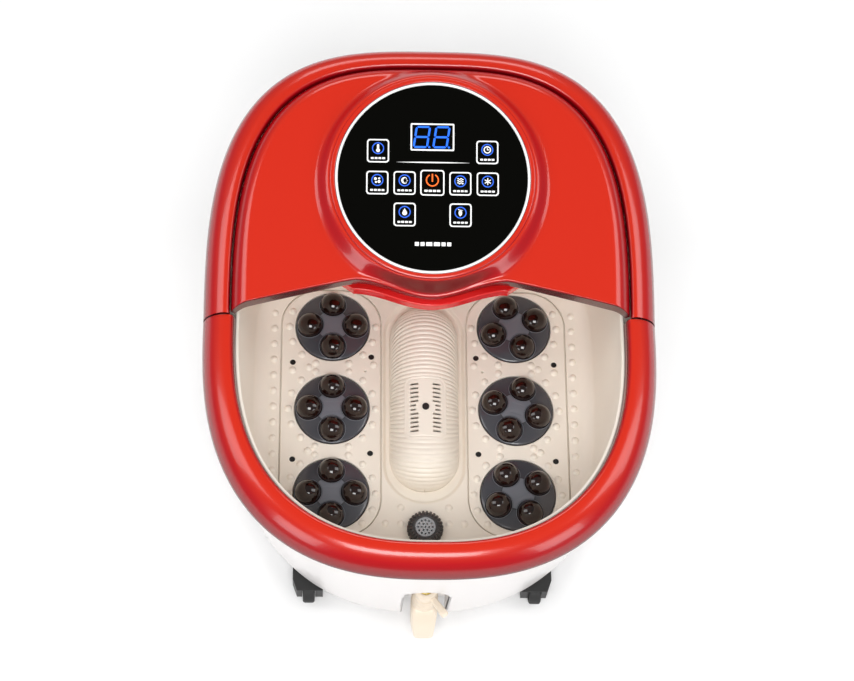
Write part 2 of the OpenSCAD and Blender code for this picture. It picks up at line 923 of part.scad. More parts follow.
module pump_hose() {
    bend = 14;
    base = shell_z + wall + 50;
    color([0.85, 0.85, 0.82])
    difference() {
        union() {
            translate([pump_outlet.x, pump_y, base])
                cylinder(r = pump_hose_r, h = pump_outlet.z - bend - base + eps);
            translate([pump_outlet.x, pump_y - bend, pump_outlet.z - bend])
                rotate([0, -90, 0])
                    rotate_extrude(angle = 90)
                        translate([bend, 0])
                            circle(r = pump_hose_r, $fn = 32);
            translate([pump_outlet.x, pump_outlet.y - 6, pump_outlet.z])
                rotate([-90, 0, 0])
                    cylinder(r = pump_hose_r, h = pump_y - bend - pump_outlet.y + 6 + eps);
        }
        translate([pump_outlet.x, pump_y, base - 1])
            cylinder(r = pump_hose_r - 1.5, h = pump_outlet.z - bend - base + 1);
        translate([pump_outlet.x, pump_y - bend, pump_outlet.z - bend])
            rotate([0, -90, 0])
                rotate_extrude(angle = 90)
                    translate([bend, 0])
                        circle(r = pump_hose_r - 1.5, $fn = 32);
        translate([pump_outlet.x, pump_outlet.y - 8, pump_outlet.z])
            rotate([-90, 0, 0])
                cylinder(r = pump_hose_r - 1.5, h = pump_y - bend - pump_outlet.y + 8);
    }
}

tap_z = 50;
tap_inlet_r = 8;
tap_bend = 16;
hose_r = 10.5;
hose_top = 76;

module hose_run(r) {
    bend_y = drain_pos.y - tap_bend;
    translate([0, drain_pos.y, tap_z + tap_bend - eps])
        cylinder(r = r, h = hose_top - tap_z - tap_bend);
    translate([0, bend_y, tap_z + tap_bend])
        rotate([0, 90, 0])
            rotate_extrude(angle = 90)
                translate([tap_bend, 0])
                    circle(r = r, $fn = 32);
    translate([0, -200, tap_z])
        rotate([-90, 0, 0])
            cylinder(r = r, h = bend_y + 200 + eps);
}

module drain_hose() {
    color([0.85, 0.85, 0.82])
    difference() {
        hose_run(hose_r);
        hose_run(tap_inlet_r);
        translate([-20, drain_pos.y - 20, hose_top - 0.01])
            cube([40, 40, 20]);
    }
}

// ---- tap ------------------------------------------------------------------------------------------------------

stem_r = 4;
bonnet = [[12, 60, 72], [10.8, 72, 80], [9.5, 80, 86]];
spout_side = [[-217, 36], [-217, 61], [-228, 60], [-237, 53], [-243, 44], [-245, 33], [-243.5, 27], [-229, 27], [-225, 34]];
spout_plan = [[-12, -216], [-12, -230], [-8.3, -245], [8.3, -245], [12, -230], [12, -216]];
outlet_y = -236;
outlet_r = 5;
outlet_h = 16;

module tap_body() {
    color(cream)
    difference() {
        union() {
            translate([0, -201, tap_z])
                rotate([-90, 0, 0])
                    cylinder(r = tap_inlet_r, h = 14);
            translate([0, tap_y, tap_z])
                rotate([-90, 0, 0])
                    cylinder(r = 10, h = 13);
            translate([0, niche_depth_y - 3, tap_z])
                rotate([-90, 0, 0])
                    cylinder(r = 13, h = 3);
            translate([0, niche_depth_y - 1, tap_z])
                rotate([-90, 0, 0])
                    cylinder(r = tap_inlet_r, h = 5);
            translate([0, tap_y, 36])
                cylinder(r = 12, h = 25);
            for (step = bonnet)
                translate([0, tap_y, step[1] - eps])
                    cylinder(r = step[0], h = step[2] - step[1] + eps);
            intersection() {
                translate([-20, 0, 0])
                    rotate([90, 0, 90])
                        linear_extrude(height = 40)
                            polygon(spout_side);
                translate([0, 0, 20])
                    linear_extrude(height = 50)
                        polygon(spout_plan);
            }
        }
        translate([0, tap_y, 58])
            cylinder(r = stem_r + run_fit, h = 40);
        translate([0, -212, tap_z])
            rotate([-90, 0, 0])
                cylinder(r = 5.5, h = 40);
        translate([0, outlet_y, 20])
            cylinder(r = outlet_r, h = outlet_h + 7);
    }
}

lever_turn = -54.5;
lever_len = 27;
lever_w = 7;
hub_r = 11.3;
hub_z = 86.4;
hub_h = 9.6;
cap_r = 6.7;

module tap_handle() {
    color(cream)
    translate([0, tap_y, 0])
        difference() {
            union() {
                translate([0, 0, 60])
                    cylinder(r = stem_r, h = hub_z - 60 + eps);
                translate([0, 0, hub_z])
                    cylinder(r = hub_r, h = hub_h);
                rotate([0, 0, lever_turn]) {
                    translate([0, -lever_w / 2, hub_z + 1])
                        cube([lever_len, lever_w, 6.5]);
                    translate([lever_len, 0, hub_z + 1])
                        cylinder(r = lever_w / 2, h = 6.5);
                }
            }
            translate([0, 0, hub_z + hub_h - 3])
                cylinder(r = cap_r, h = 10);
        }
}

module tap_cap() {
    color([0.8, 0.65, 0.15])
    translate([0, tap_y, hub_z + hub_h - 3])
        cylinder(r = cap_r, h = 3.6);
}

// ---- casters --------------------------------------------------------------------------------------------------

front_wheel_y = -193.2;
rear_wheel_y = 190;
wheel_w = 11;
housing_front_y = 5.3;  // the housing's end stands this far beyond the axle
housing_back_y = 30;
housing_in_x = 13;
housing_out_x = 15;
housing_floor = 7;
wheel_axle_r = 2;
slot_w2 = wheel_w + 1.2;

// end = -1 for the front pair and +1 for the back pair
module caster_places(sides = [-1, 1], ends = [-1, 1]) {
    for (side = sides)
        for (end = ends)
            translate([side * wheel_x, end < 0 ? front_wheel_y : rear_wheel_y, wheel_r])
                mirror([side < 0 ? 1 : 0, 0, 0])
                    mirror([0, end > 0 ? 1 : 0, 0])
                        children();
}

module caster_housings() {
    color(black)
    caster_places()
        difference() {
            translate([0, 0, housing_floor - wheel_r])
                linear_extrude(height = shell_z - housing_floor)
                    polygon([
                        [-housing_in_x, -housing_front_y], [housing_out_x - 4, -housing_front_y],
                        [housing_out_x, 6], [housing_out_x, housing_back_y],
                        [-housing_in_x, housing_back_y]
                    ]);
            translate([-slot_w2 / 2, -20, -20])
                cube([slot_w2, 20 + wheel_r + 1, 20 + wheel_r + 0.6]);
            translate([-40, 0, 0])
                rotate([0, 90, 0])
                    cylinder(r = wheel_axle_r, h = 80);
        }
}

module wheel_axles() {
    color(steel)
    caster_places()
        translate([-housing_in_x + 1, 0, 0])
            rotate([0, 90, 0])
                cylinder(r = wheel_axle_r, h = housing_in_x + housing_out_x - 4);
}

module wheel(side, end) {
    color(black)
    caster_places([side], [end])
        translate([-wheel_w / 2, 0, 0])
            rotate([0, 90, 0])
                difference() {
                    cylinder(r = wheel_r, h = wheel_w);
                    translate([0, 0, -1])
                        cylinder(r = wheel_axle_r + run_fit, h = wheel_w + 2);
                }
}

// ---- fasteners and gland --------------------------------------------------------------------------------------

module screw(r, head_r, length) {
    translate([0, 0, -length])
        cylinder(r = r, h = length + eps);
    cylinder(r = head_r, h = 1.4);
}

module screws() {
    color(steel) {
        for (p = shell_bosses)
            translate([p.x, p.y, shell_z])
                mirror([0, 0, 1])
                    screw(screw_r - 0.02, 3.4, 19);
        for (side = [-1, 1])
            for (p = plate_screws)
                translate([side * p.x, p.y, pocket_z + 1.5])
                    screw(plate_shank_r - 0.02, plate_screw_hole_r - 0.02, 3.4);
        translate([0, grille_y, hump_axis_z + hump_r])
            screw(grille_screw_r - 0.02, 3.2, 14);
    }
}

lead_r = 3.4;

module cord_gland() {
    color(black)
    translate(gland_pos)
        rotate([-90, 0, 0])
            difference() {
                union() {
                    translate([0, 0, -12])
                        cylinder(r = gland_r - 0.02, h = 20);
                    translate([0, 0, 7])
                        cylinder(r = gland_r + 3, h = 3);
                    translate([0, 0, 10 - eps])
                        cylinder(r1 = gland_r, r2 = lead_r + 2, h = 12);
                }
                translate([0, 0, -20])
                    cylinder(r = lead_r, h = 60);
            }
}

// ---- nodes ----------------------------------------------------------------------------------------------------

translate([0, middle_y, 0]) {
    outer_shell();
    base_plate();
    inner_basin();
    front_rim();
    rear_rim();
    rear_cover();
    pod_underside();
    panel_glass();
    panel_ring();
    control_board();
    foot_plate(1);  // left_foot_plate
    foot_plate(0);  // right_foot_plate
    hump_cover();
    drain_strainer();
    tap_body();
    tap_handle();
    tap_cap();
    drain_hose();
    caster_housings();
    wheel_axles();
    wheel(-1, -1);  // front_left_wheel
    wheel(1, -1);  // front_right_wheel
    wheel(-1, 1);  // rear_left_wheel
    wheel(1, 1);  // rear_right_wheel
    gear_motors();
    heater_tube();
    circulation_pump();
    pump_hose();
    screws();
    cord_gland();
    for (side = SIDES) for (row = ROWS) {
        disc_name = str(side[0], "_", row[0], "_disc");
        massage_disc(side[1], row[1]);
        for (k = ROLLERS) {
            roller_name = str(side[0], "_", row[0], "_roller_", k + 1);
            roller(side[1], row[1], k);
        }
    }
}
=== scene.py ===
"""Foot spa basin on casters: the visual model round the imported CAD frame.

Lengths are millimetres along the frame's axes (+X right, +Y back, +Z up), with Y counted from a line MIDDLE_Y in front
of the frame's origin. new_mesh() turns them into metres and piece() moves them into place.
"""
import json
from math import asin, atan2, cos, pi, radians, sin

import bmesh
import bpy
import numpy as np
from mathutils import Matrix, Vector
from mathutils.geometry import tessellate_polygon


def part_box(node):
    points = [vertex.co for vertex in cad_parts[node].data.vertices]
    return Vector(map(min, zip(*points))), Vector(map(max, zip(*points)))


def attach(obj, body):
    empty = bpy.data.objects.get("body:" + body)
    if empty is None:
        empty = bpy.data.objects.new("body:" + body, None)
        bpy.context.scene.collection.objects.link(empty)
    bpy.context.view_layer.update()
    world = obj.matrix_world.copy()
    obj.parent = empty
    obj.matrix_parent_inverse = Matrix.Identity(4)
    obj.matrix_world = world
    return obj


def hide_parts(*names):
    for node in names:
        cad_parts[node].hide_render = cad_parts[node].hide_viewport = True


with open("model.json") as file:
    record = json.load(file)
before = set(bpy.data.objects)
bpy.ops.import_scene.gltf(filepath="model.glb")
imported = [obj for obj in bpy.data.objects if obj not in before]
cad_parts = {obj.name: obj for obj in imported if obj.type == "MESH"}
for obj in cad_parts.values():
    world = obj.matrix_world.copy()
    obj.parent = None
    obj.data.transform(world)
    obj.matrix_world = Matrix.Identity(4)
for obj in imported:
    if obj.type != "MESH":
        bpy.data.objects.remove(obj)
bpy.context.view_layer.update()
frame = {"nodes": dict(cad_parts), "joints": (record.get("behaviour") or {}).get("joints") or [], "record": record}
MM = 0.001
STATIC = "basin"
MIDDLE_Y = 7.5


def box_mm(node):
    """A CAD node's lowest and highest corners, in millimetres."""
    low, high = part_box(node)
    return np.array(low) / MM - [0, MIDDLE_Y, 0], np.array(high) / MM - [0, MIDDLE_Y, 0]


JOINTS = {joint["name"]: joint for joint in frame["joints"]}


def joint_mm(name):
    return np.array(JOINTS[name]["pos_m"]) / MM - [0, MIDDLE_Y, 0]


# ---- driving dimensions ----

CORE_Y = -20.0          # the body is widest on this line
SEAM_Y = -11.0          # the rim is split here
DECK_SLOPE = 0.26
front_low, front_high = box_mm("front_rim")
HALF_W = front_high[0]
FRONT = CORE_Y - front_low[1]
BACK = box_mm("rear_rim")[1][1] - CORE_Y
RIM_Z = front_low[2]
FRONT_POWER, BACK_POWER = 2.5, 3.1
SEAM_TURN, SEAM_GAP = radians(2.6), radians(0.31)


def smooth(t):
    t = np.clip(t, 0, 1)
    return t * t * (3 - 2 * t)


def outline(t, half, front, back, front_power=FRONT_POWER, back_power=BACK_POWER):
    """Points of a rounded outline at polar angles t about the body's widest line."""
    t = np.asarray(t, float)
    ahead = np.sin(t) < 0
    n = np.where(ahead, front_power, back_power)
    reach = np.where(ahead, front, back)
    r = ((np.abs(np.cos(t)) / half) ** n + (np.abs(np.sin(t)) / reach) ** n) ** (-1 / n)
    return r * np.cos(t), CORE_Y + r * np.sin(t)


def rim_outline(t, inset):
    return outline(t, HALF_W - inset, FRONT - inset, BACK - inset)


def climb(y):
    return np.maximum(0, DECK_SLOPE * (y - SEAM_Y))


# ---- meshes ----


def spline(points, per):
    """A smooth curve through points, with per steps between neighbours."""
    p = np.array(points, float)
    p = np.vstack([2 * p[0] - p[1], p, 2 * p[-1] - p[-2]])
    out = []
    for a, b, c, d in zip(p, p[1:], p[2:], p[3:]):
        for t in np.arange(per) / per:
            out.append(b + 0.5 * ((c - a) * t + (2 * a - 5 * b + 4 * c - d) * t**2 + (3 * b - a - 3 * c + d) * t**3))
    return np.array(out + [p[-2]])


def shaded_smooth(mesh, sharp):
    mesh.polygons.foreach_set("use_smooth", [True] * len(mesh.polygons))
    mesh.set_sharp_from_angle(angle=radians(sharp))
    return mesh


def finish_mesh(mesh, sharp=35):
    """Welds the mesh, turns its faces outwards and shades it smooth up to the sharp angle in degrees."""
    bm = bmesh.new()
    bm.from_mesh(mesh)
    bmesh.ops.remove_doubles(bm, verts=bm.verts, dist=2e-6)
    bmesh.ops.dissolve_degenerate(bm, edges=bm.edges, dist=1e-6)
    bmesh.ops.recalc_face_normals(bm, faces=bm.faces)
    bm.to_mesh(mesh)
    bm.free()
    return shaded_smooth(mesh, sharp)


def new_mesh(name, verts, faces, sharp=35):
    mesh = bpy.data.meshes.new(name)
    mesh.from_pydata((np.asarray(verts, float) * MM).tolist(), [], faces)
    return finish_mesh(mesh, sharp)


def loft(name, loops, wrap=True, ring=False, caps=False, sharp=35, skip=None):
    """Quads between loops of equal length. wrap closes each loop, ring joins the last loop to the first, caps closes
    the two ends, and skip(row, column) leaves a quad out."""
    loops = np.array(loops, float)
    rows, n = loops.shape[:2]
    faces = []
    for i in range(rows if ring else rows - 1):
        a, b = i * n, (i + 1) % rows * n
        for k in range(n if wrap else n - 1):
            if skip is None or not skip(i, k):
                m = (k + 1) % n
                faces.append((a + k, b + k, b + m, a + m))
    if caps:
        faces.append(tuple(range(n)))
        faces.append(tuple(rows * n - 1 - k for k in range(n)))
    return new_mesh(name, loops.reshape(-1, 3), faces, sharp)


def circle(r, centre=(0, 0), steps=64, start=0.0):
    a = start + np.arange(steps) * 2 * pi / steps
    return np.stack([centre[0] + r * np.cos(a), centre[1] + r * np.sin(a)], 1)


def lathe(name, profile, centre=(0, 0), steps=96, sharp=35, ring=False):
    """(radius, height) pairs turned about a vertical axis."""
    loops = [np.column_stack([circle(max(r, 1e-6), centre, steps), np.full(steps, z)]) for r, z in profile]
    return loft(name, loops, ring=ring, sharp=sharp)


def rounded_box_outline(w, h, r, centre=(0, 0), steps=8):
    points = []
    for sx, sy, start in ((1, 1, 0), (-1, 1, 90), (-1, -1, 180), (1, -1, 270)):
        for k in range(steps + 1):
            a = radians(start + 90 * k / steps)
            points.append((centre[0] + sx * (w / 2 - r) + r * cos(a), centre[1] + sy * (h / 2 - r) + r * sin(a)))
    return np.array(points)


def grown(points, by):
    """A closed outline moved outwards by that much along its own normals."""
    p = np.asarray(points, float)
    ahead, behind = np.roll(p, -1, 0) - p, p - np.roll(p, 1, 0)
    tangent = ahead / (np.linalg.norm(ahead, axis=1)[:, None] + 1e-9)
    tangent += behind / (np.linalg.norm(behind, axis=1)[:, None] + 1e-9)
    tangent /= np.linalg.norm(tangent, axis=1)[:, None] + 1e-9
    area = np.sum(p[:, 0] * np.roll(p[:, 1], -1) - p[:, 1] * np.roll(p[:, 0], -1))
    side = by if area > 0 else -by
    return p + side * np.stack([tangent[:, 1], -tangent[:, 0]], 1)


def plate(name, outer, holes, low, high, edge=0.0, steps=4, sharp=35):
    """A flat plate between two heights, its top edges rounded by edge, with holes through it."""
    profile = [(0.0, low)]
    if edge:
        turns = [radians(90 * k / steps) for k in range(steps + 1)]
        profile += [(edge * (1 - cos(a)), high - edge * (1 - sin(a))) for a in turns]
    else:
        profile.append((0.0, high))
    verts, faces, tops, bottoms = [], [], [], []
    for index, points in enumerate([outer] + list(holes)):
        inwards = -1 if index == 0 else 1
        n = len(points)
        for level, (inset, z) in enumerate(profile):
            loop = grown(points, inwards * inset) if inset else np.asarray(points)
            base = len(verts)
            verts += [(x, y, z) for x, y in loop]
            if level:
                faces += [(base - n + k, base + k, base + (k + 1) % n, base - n + (k + 1) % n) for k in range(n)]
            if level in (0, len(profile) - 1):
                (tops if level else bottoms).append(list(range(base, base + n)))
    for rings in (tops, bottoms):
        flat = [i for ring in rings for i in ring]
        triangles = tessellate_polygon([[Vector(verts[i]) for i in ring] for ring in rings])
        faces += [tuple(flat[i] for i in triangle) for triangle in triangles]
    return new_mesh(name, verts, faces, sharp)


def joined(name, meshes, sharp=35):
    """One mesh holding all of these, which are (mesh, matrix or None) pairs or bare meshes."""
    bm = bmesh.new()
    for item in meshes:
        mesh, matrix = item if isinstance(item, tuple) else (item, None)
        part = mesh.copy()
        if matrix is not None:
            part.transform(matrix)
        bm.from_mesh(part)
    out = bpy.data.meshes.new(name)
    bm.to_mesh(out)
    bm.free()
    return shaded_smooth(out, sharp)


def at(x, y, z, turn=0.0):
    """A placement in metres from millimetres, turned about the vertical by radians."""
    return Matrix.Translation(Vector((x, y, z)) * MM) @ Matrix.Rotation(turn, 4, "Z")


def carve(mesh, cutters, operation="DIFFERENCE", sharp=35):
    """mesh less each cutter, or with another boolean operation."""
    target = bpy.data.objects.new("carve", mesh)
    bpy.context.scene.collection.objects.link(target)
    tools = []
    for cutter in cutters:
        tool = bpy.data.objects.new("cutter", cutter)
        bpy.context.scene.collection.objects.link(tool)
        tools.append(tool)
        modifier = target.modifiers.new("cut", "BOOLEAN")
        modifier.object, modifier.operation, modifier.solver = tool, operation, "EXACT"
    depsgraph = bpy.context.evaluated_depsgraph_get()
    result = bpy.data.meshes.new_from_object(target.evaluated_get(depsgraph))
    for obj in [target] + tools:
        bpy.data.objects.remove(obj)
    return finish_mesh(result, sharp)


def prism(name, points, low, high):
    return plate(name, points, [], low, high)


def piece(name, mesh, slot, body=STATIC, matrix=None, material=None):
    """A finished piece that rides on a CAD body, in its slot's finish unless a material is given. A piece named like a
    CAD node stands in for it."""
    obj = bpy.data.objects.new(name, mesh)
    bpy.context.scene.collection.objects.link(obj)
    obj.matrix_world = Matrix.Translation((0, MIDDLE_Y * MM, 0)) @ (matrix or Matrix.Identity(4))
    if not mesh.materials:
        mesh.materials.append(material or FINISHES[slot])
    weigh = obj.modifiers.new("weighted normals", "WEIGHTED_NORMAL")
    weigh.keep_sharp = True
    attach(obj, body)
    replaces = [name] if name in frame["nodes"] else []
    if replaces:
        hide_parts(*replaces)
    return obj


# ---- materials ----


def finish(name, color, roughness, coat=0.0, specular=0.5, metallic=0.0, grain=None, emission=0.0):
    """A Principled finish. grain is (scale, height in mm) of a fine procedural unevenness."""
    material = bpy.data.materials.new(name)
    material.use_nodes = True
    nodes, links = material.node_tree.nodes, material.node_tree.links
    shader = nodes["Principled BSDF"]
    shader.inputs["Base Color"].default_value = (*color, 1)
    shader.inputs["Roughness"].default_value = roughness
    shader.inputs["Metallic"].default_value = metallic
    shader.inputs["Specular IOR Level"].default_value = specular
    shader.inputs["Coat Weight"].default_value = coat
    shader.inputs["Coat Roughness"].default_value = 0.03
    if emission:
        shader.inputs["Emission Color"].default_value = (*color, 1)
        shader.inputs["Emission Strength"].default_value = emission
    if grain:
        texture = nodes.new("ShaderNodeTexNoise")
        texture.inputs["Scale"].default_value = grain[0]
        texture.inputs["Detail"].default_value = 3
        place = nodes.new("ShaderNodeTexCoord")
        bump = nodes.new("ShaderNodeBump")
        bump.inputs["Distance"].default_value = grain[1] * MM
        links.new(place.outputs["Object"], texture.inputs["Vector"])
        links.new(texture.outputs["Fac"], bump.inputs["Height"])
        links.new(bump.outputs["Normal"], shader.inputs["Normal"])
    return material


def painted_shade_by_facing(material, stops):
    """Paints shade into a finish's colour by how far the surface faces up, darker on faces that point sideways or down:
    stops are (upward part of the normal, colour).
    """
    nodes, links = material.node_tree.nodes, material.node_tree.links
    geometry = nodes.new("ShaderNodeNewGeometry")
    split = nodes.new("ShaderNodeSeparateXYZ")
    ramp = nodes.new("ShaderNodeValToRGB")
    links.new(geometry.outputs["Normal"], split.inputs["Vector"])
    links.new(split.outputs["Z"], ramp.inputs["Fac"])
    links.new(ramp.outputs["Color"], nodes["Principled BSDF"].inputs["Base Color"])
    for index, (place, color) in enumerate(stops):
        stop = ramp.color_ramp.elements[index] if index < 2 else ramp.color_ramp.elements.new(place)
        stop.position, stop.color = place, (*color, 1)
    return material


# painted light and shade in the red: dark maroon where faces point sideways or down, rising to a warm orange-red where
# they point up
RED_PAINTED_SHADE = [(0.0, (0.09, 0.001, 0.003)), (0.95, (0.62, 0.018, 0.003)), (0.35, (0.24, 0.001, 0.004)),
                 (0.7, (0.46, 0.002, 0.006))]
RED = finish("red gloss with painted shade", (0.6, 0.01, 0.01), 0.22, coat=0.3, grain=(40, 0.01))
BLACK = finish("black plastic", (0.012, 0.012, 0.012), 0.45, grain=(500, 0.02))
RUBBER = finish("black rubber", (0.018, 0.018, 0.018), 0.6, grain=(400, 0.02))
FINISHES = {
    "red_gloss": painted_shade_by_facing(RED, RED_PAINTED_SHADE),
    "beige_plastic": finish("beige plastic", (0.97, 0.90, 0.80), 0.34, grain=(300, 0.01)),
    "white_plastic": finish("white plastic", (0.82, 0.79, 0.78), 0.3, coat=0.2, grain=(60, 0.02)),
    "cream_plastic": finish("cream plastic", (0.86, 0.74, 0.60), 0.32, grain=(250, 0.01)),
    "disc_plastic": finish("disc plastic", (0.065, 0.067, 0.08), 0.24, coat=0.5, grain=(400, 0.006)),
    "roller_plastic": finish("roller plastic", (0.014, 0.0045, 0.003), 0.1, coat=0.4, grain=(90, 0.01)),
    "black_glass": finish("panel glass", (0.002, 0.002, 0.0015), 0.08, specular=0.06),
    "white_ring": finish("white ring", (0.92, 0.92, 0.92), 0.22, coat=0.5, grain=(200, 0.003)),
    # the white print is given a little emission: painted glow on printed marks
    "panel_print": finish("white print with painted glow", (0.86, 0.86, 0.86), 0.5, emission=0.25),
    "black_plastic": BLACK,
    "black_screws": BLACK,
    "black_rubber": RUBBER,
    "wheel_rubber": RUBBER,
    "steel": finish("steel", (0.6, 0.6, 0.62), 0.3, metallic=1.0, grain=(500, 0.005)),
    "dark_plastic": finish("dark plastic", (0.05, 0.045, 0.045), 0.35, grain=(300, 0.01)),
    "yellow_cap": finish("yellow cap", (0.52, 0.36, 0.03), 0.3, coat=0.3, grain=(200, 0.01)),
    "hose": finish("hose", (0.75, 0.75, 0.7), 0.5, grain=(200, 0.02)),
    "circuit_board": finish("circuit board", (0.01, 0.12, 0.04), 0.4, grain=(400, 0.02)),
    "motor_metal": finish("motor metal", (0.35, 0.35, 0.37), 0.4, metallic=0.8, grain=(400, 0.01)),
}
# painted light: a brighter copy of the red for the lip under the cover, so that its front face looks lit
LIP_RED_PAINTED_LIGHT = finish("red lip with painted light", (0.75, 0.012, 0.012), 0.2, coat=0.6)
# a lighter grey for the star cap; on the pocket lips the same grey is a painted highlight line round each pocket
STAR_AND_LIP_HIGHLIGHT = finish("star plastic and painted lip highlight", (0.17, 0.18, 0.21), 0.3, coat=0.4, grain=(400, 0.006))
GRATE = finish("grate", (0.42, 0.44, 0.47), 0.35, grain=(300, 0.01))
INKS = {
    "white": FINISHES["panel_print"],
    # the blue and orange print are given emission too: painted glow on printed marks
    "blue": finish("blue print with painted glow", (0.02, 0.12, 0.72), 0.5, emission=0.35),
    "orange": finish("orange print with painted glow", (0.95, 0.14, 0.01), 0.5, emission=0.5),
    "digits": finish("blue digits", (0.01, 0.13, 0.85), 0.5, emission=0.7),
}
for part in frame["record"]["subparts"]:
    materials = frame["nodes"][part["node"]].data.materials
    materials.clear()
    materials.append(FINISHES[part["material_slot"]])

# ---- rim ----

# sections as (inset, height), from the outer edge over the top and back underneath
RIM_SKIN = [(0.5, 0), (0.1, 0.6), (0.1, 2), (1, 6), (4, 12.5), (9, 18.5), (15, 22.5), (21, 24), (25, 23.6),
            (27.5, 20), (29, 12)]
RIM_INSIDE = [(26.6, 12), (25.2, 18.2), (23.5, 21.2), (15.5, 20), (10.5, 16.3), (6.4, 11.3), (3.5, 5.4), (2.5, 0)]
BAND_SKIN = [(0.5, 0), (0.1, 0.6), (0.1, 2), (1, 7), (4, 14), (9, 20.2), (15, 24.6), (20, 26), (23, 25), (24.2, 21)]
BAND_INSIDE = [(22, 20.8), (20.6, 22.6), (15.6, 22), (10.6, 18), (6.4, 12.6), (3.5, 6), (2.5, 0)]


def rim_part(name, turns, skin, inside):
    section = np.vstack([spline(skin, 5), spline(inside, 3)])
    loops = []
    for t in turns:
        x, y = rim_outline(np.full(len(section), t), section[:, 0])
        loops.append(np.column_stack([x, y, RIM_Z + section[:, 1] + climb(y)]))
    return piece(name, loft(name, loops, caps=True), "red_gloss")


RIM_STEPS = 221
rim_part("front_rim", np.linspace(-pi - SEAM_TURN, SEAM_TURN, RIM_STEPS), RIM_SKIN, RIM_INSIDE)
rim_part("rear_rim", np.linspace(SEAM_TURN + SEAM_GAP, pi - SEAM_TURN - SEAM_GAP, RIM_STEPS), BAND_SKIN, BAND_INSIDE)

# ---- panel plane ----

PANEL_TILT = radians(15)
panel_right = np.array([1.0, 0, 0])
panel_up = np.array([0, cos(PANEL_TILT), sin(PANEL_TILT)])
panel_out = np.array([0, -sin(PANEL_TILT), cos(PANEL_TILT)])
GLASS_MID = 1.9         # the glass's middle lies this far under the panel's plane
glass_low, glass_high = box_mm("panel_glass")
panel_centre = (glass_low + glass_high) / 2 + GLASS_MID * panel_out
ring_low, ring_high = box_mm("panel_ring")
PANEL_R = (ring_high[0] - ring_low[0]) / 2
GLASS_R = (glass_high[0] - glass_low[0]) / 2
PANEL_PLACE = Matrix.Translation(Vector(panel_centre * MM)) @ Matrix.Rotation(PANEL_TILT, 4, "X")

# ---- rear cover ----

COVER_INSET = 25.0
COVER_T = 2.5
SKIRT, SKIRT_LEAN = 15.0, 3.6       # the skirt's height, and how far its foot leans in
SHOULDER_W, SHOULDER_DROP = 15.0, 14.0
DECK_Z0 = 242.0
PEAK_X, PEAK_Y = 67.0, 14.0
LIP_Y, LIP_DROP = 3.0, 9.0
EDGE_X, EDGE_Y = 174.6, -9.0
COVER_TURN = radians(4.2)
BEZEL_R = 90.0
POD_START_R, POD_START_DEPTH = BEZEL_R + 1.4, 0.9      # where the pod's slope leaves the bezel
POD_REACH = 13.0
NEAR_SHARE = 0.17       # the share of the cover that is meshed finely, next to the bezel
EDGE_ROUND = 1.8


def front_edge(x):
    a = abs(x)
    if a < PEAK_X:
        return LIP_Y + (PEAK_Y - LIP_Y) * smooth(a / PEAK_X)
    return PEAK_Y + (EDGE_Y - PEAK_Y) * ((a - PEAK_X) / (EDGE_X - PEAK_X)) ** 1.1


def deck_height(x, y):
    qy = y - CORE_Y
    n = np.where(qy < 0, FRONT_POWER, BACK_POWER)
    reach = np.where(qy < 0, FRONT, BACK) - COVER_INSET
    g = ((np.abs(x) / (HALF_W - COVER_INSET)) ** n + (np.abs(qy) / reach) ** n) ** (1 / n)
    from_seam = np.hypot(x, qy) * (1 / g - 1)
    drop = np.clip(1 - from_seam / SHOULDER_W, 0, 1.2)
    return DECK_Z0 + DECK_SLOPE * (y - EDGE_Y) - SHOULDER_DROP * drop**2


front_x = EDGE_X * np.sin(np.linspace(-pi / 2, pi / 2, 121))
side_x, side_y = rim_outline(np.linspace(COVER_TURN, pi - COVER_TURN, 200), COVER_INSET)
edge_xy = np.vstack([np.column_stack([front_x, [front_edge(x) for x in front_x]]), np.column_stack([side_x, side_y])])
on_front = np.arange(len(edge_xy)) < len(front_x)
from_panel = edge_xy - [0, panel_centre[1]]
edge_far = np.linalg.norm(from_panel, axis=1)
facing = from_panel / edge_far[:, None]
lip_dip = np.where(on_front, LIP_DROP * (1 - smooth(np.abs(edge_xy[:, 0]) / PEAK_X)), 0)


def bezel_loop(r, depth):
    """A circle in the panel's plane, sunk by depth, with its points facing the cover's edge."""
    spread = facing[:, :1] * panel_right + facing[:, 1:] * panel_up
    return panel_centre + r * spread - depth * panel_out


def cover_loop(share, down=0.0, back=0.0):
    """Points on the cover's skin between the bezel (share 0) and the edge (share 1), lowered by down."""
    start = bezel_loop(POD_START_R, POD_START_DEPTH)
    target = edge_xy - back * facing
    length = np.linalg.norm(target - start[:, :2], axis=1)
    along = share * length
    reach = np.minimum(0.86 * length, POD_REACH)
    q = start[:, :2] + (target - start[:, :2]) * share
    pod = smooth(along / reach) ** 0.85
    on_plane = start[:, 2] + (q[:, 1] - start[:, 1]) * np.tan(PANEL_TILT) * 0.6
    deck = deck_height(q[:, 0], q[:, 1]) - lip_dip * (0.5 + 0.5 * share)
    return np.column_stack([q, on_plane * (1 - pod) + deck * pod - down])


def share_rows():
    near = np.linspace(0, 1, 15)[1:] * NEAR_SHARE
    far = 1 - (1 - NEAR_SHARE) * (1 - np.linspace(0, 1, 34)[1:]) ** 1.25
    return np.concatenate([near, far])


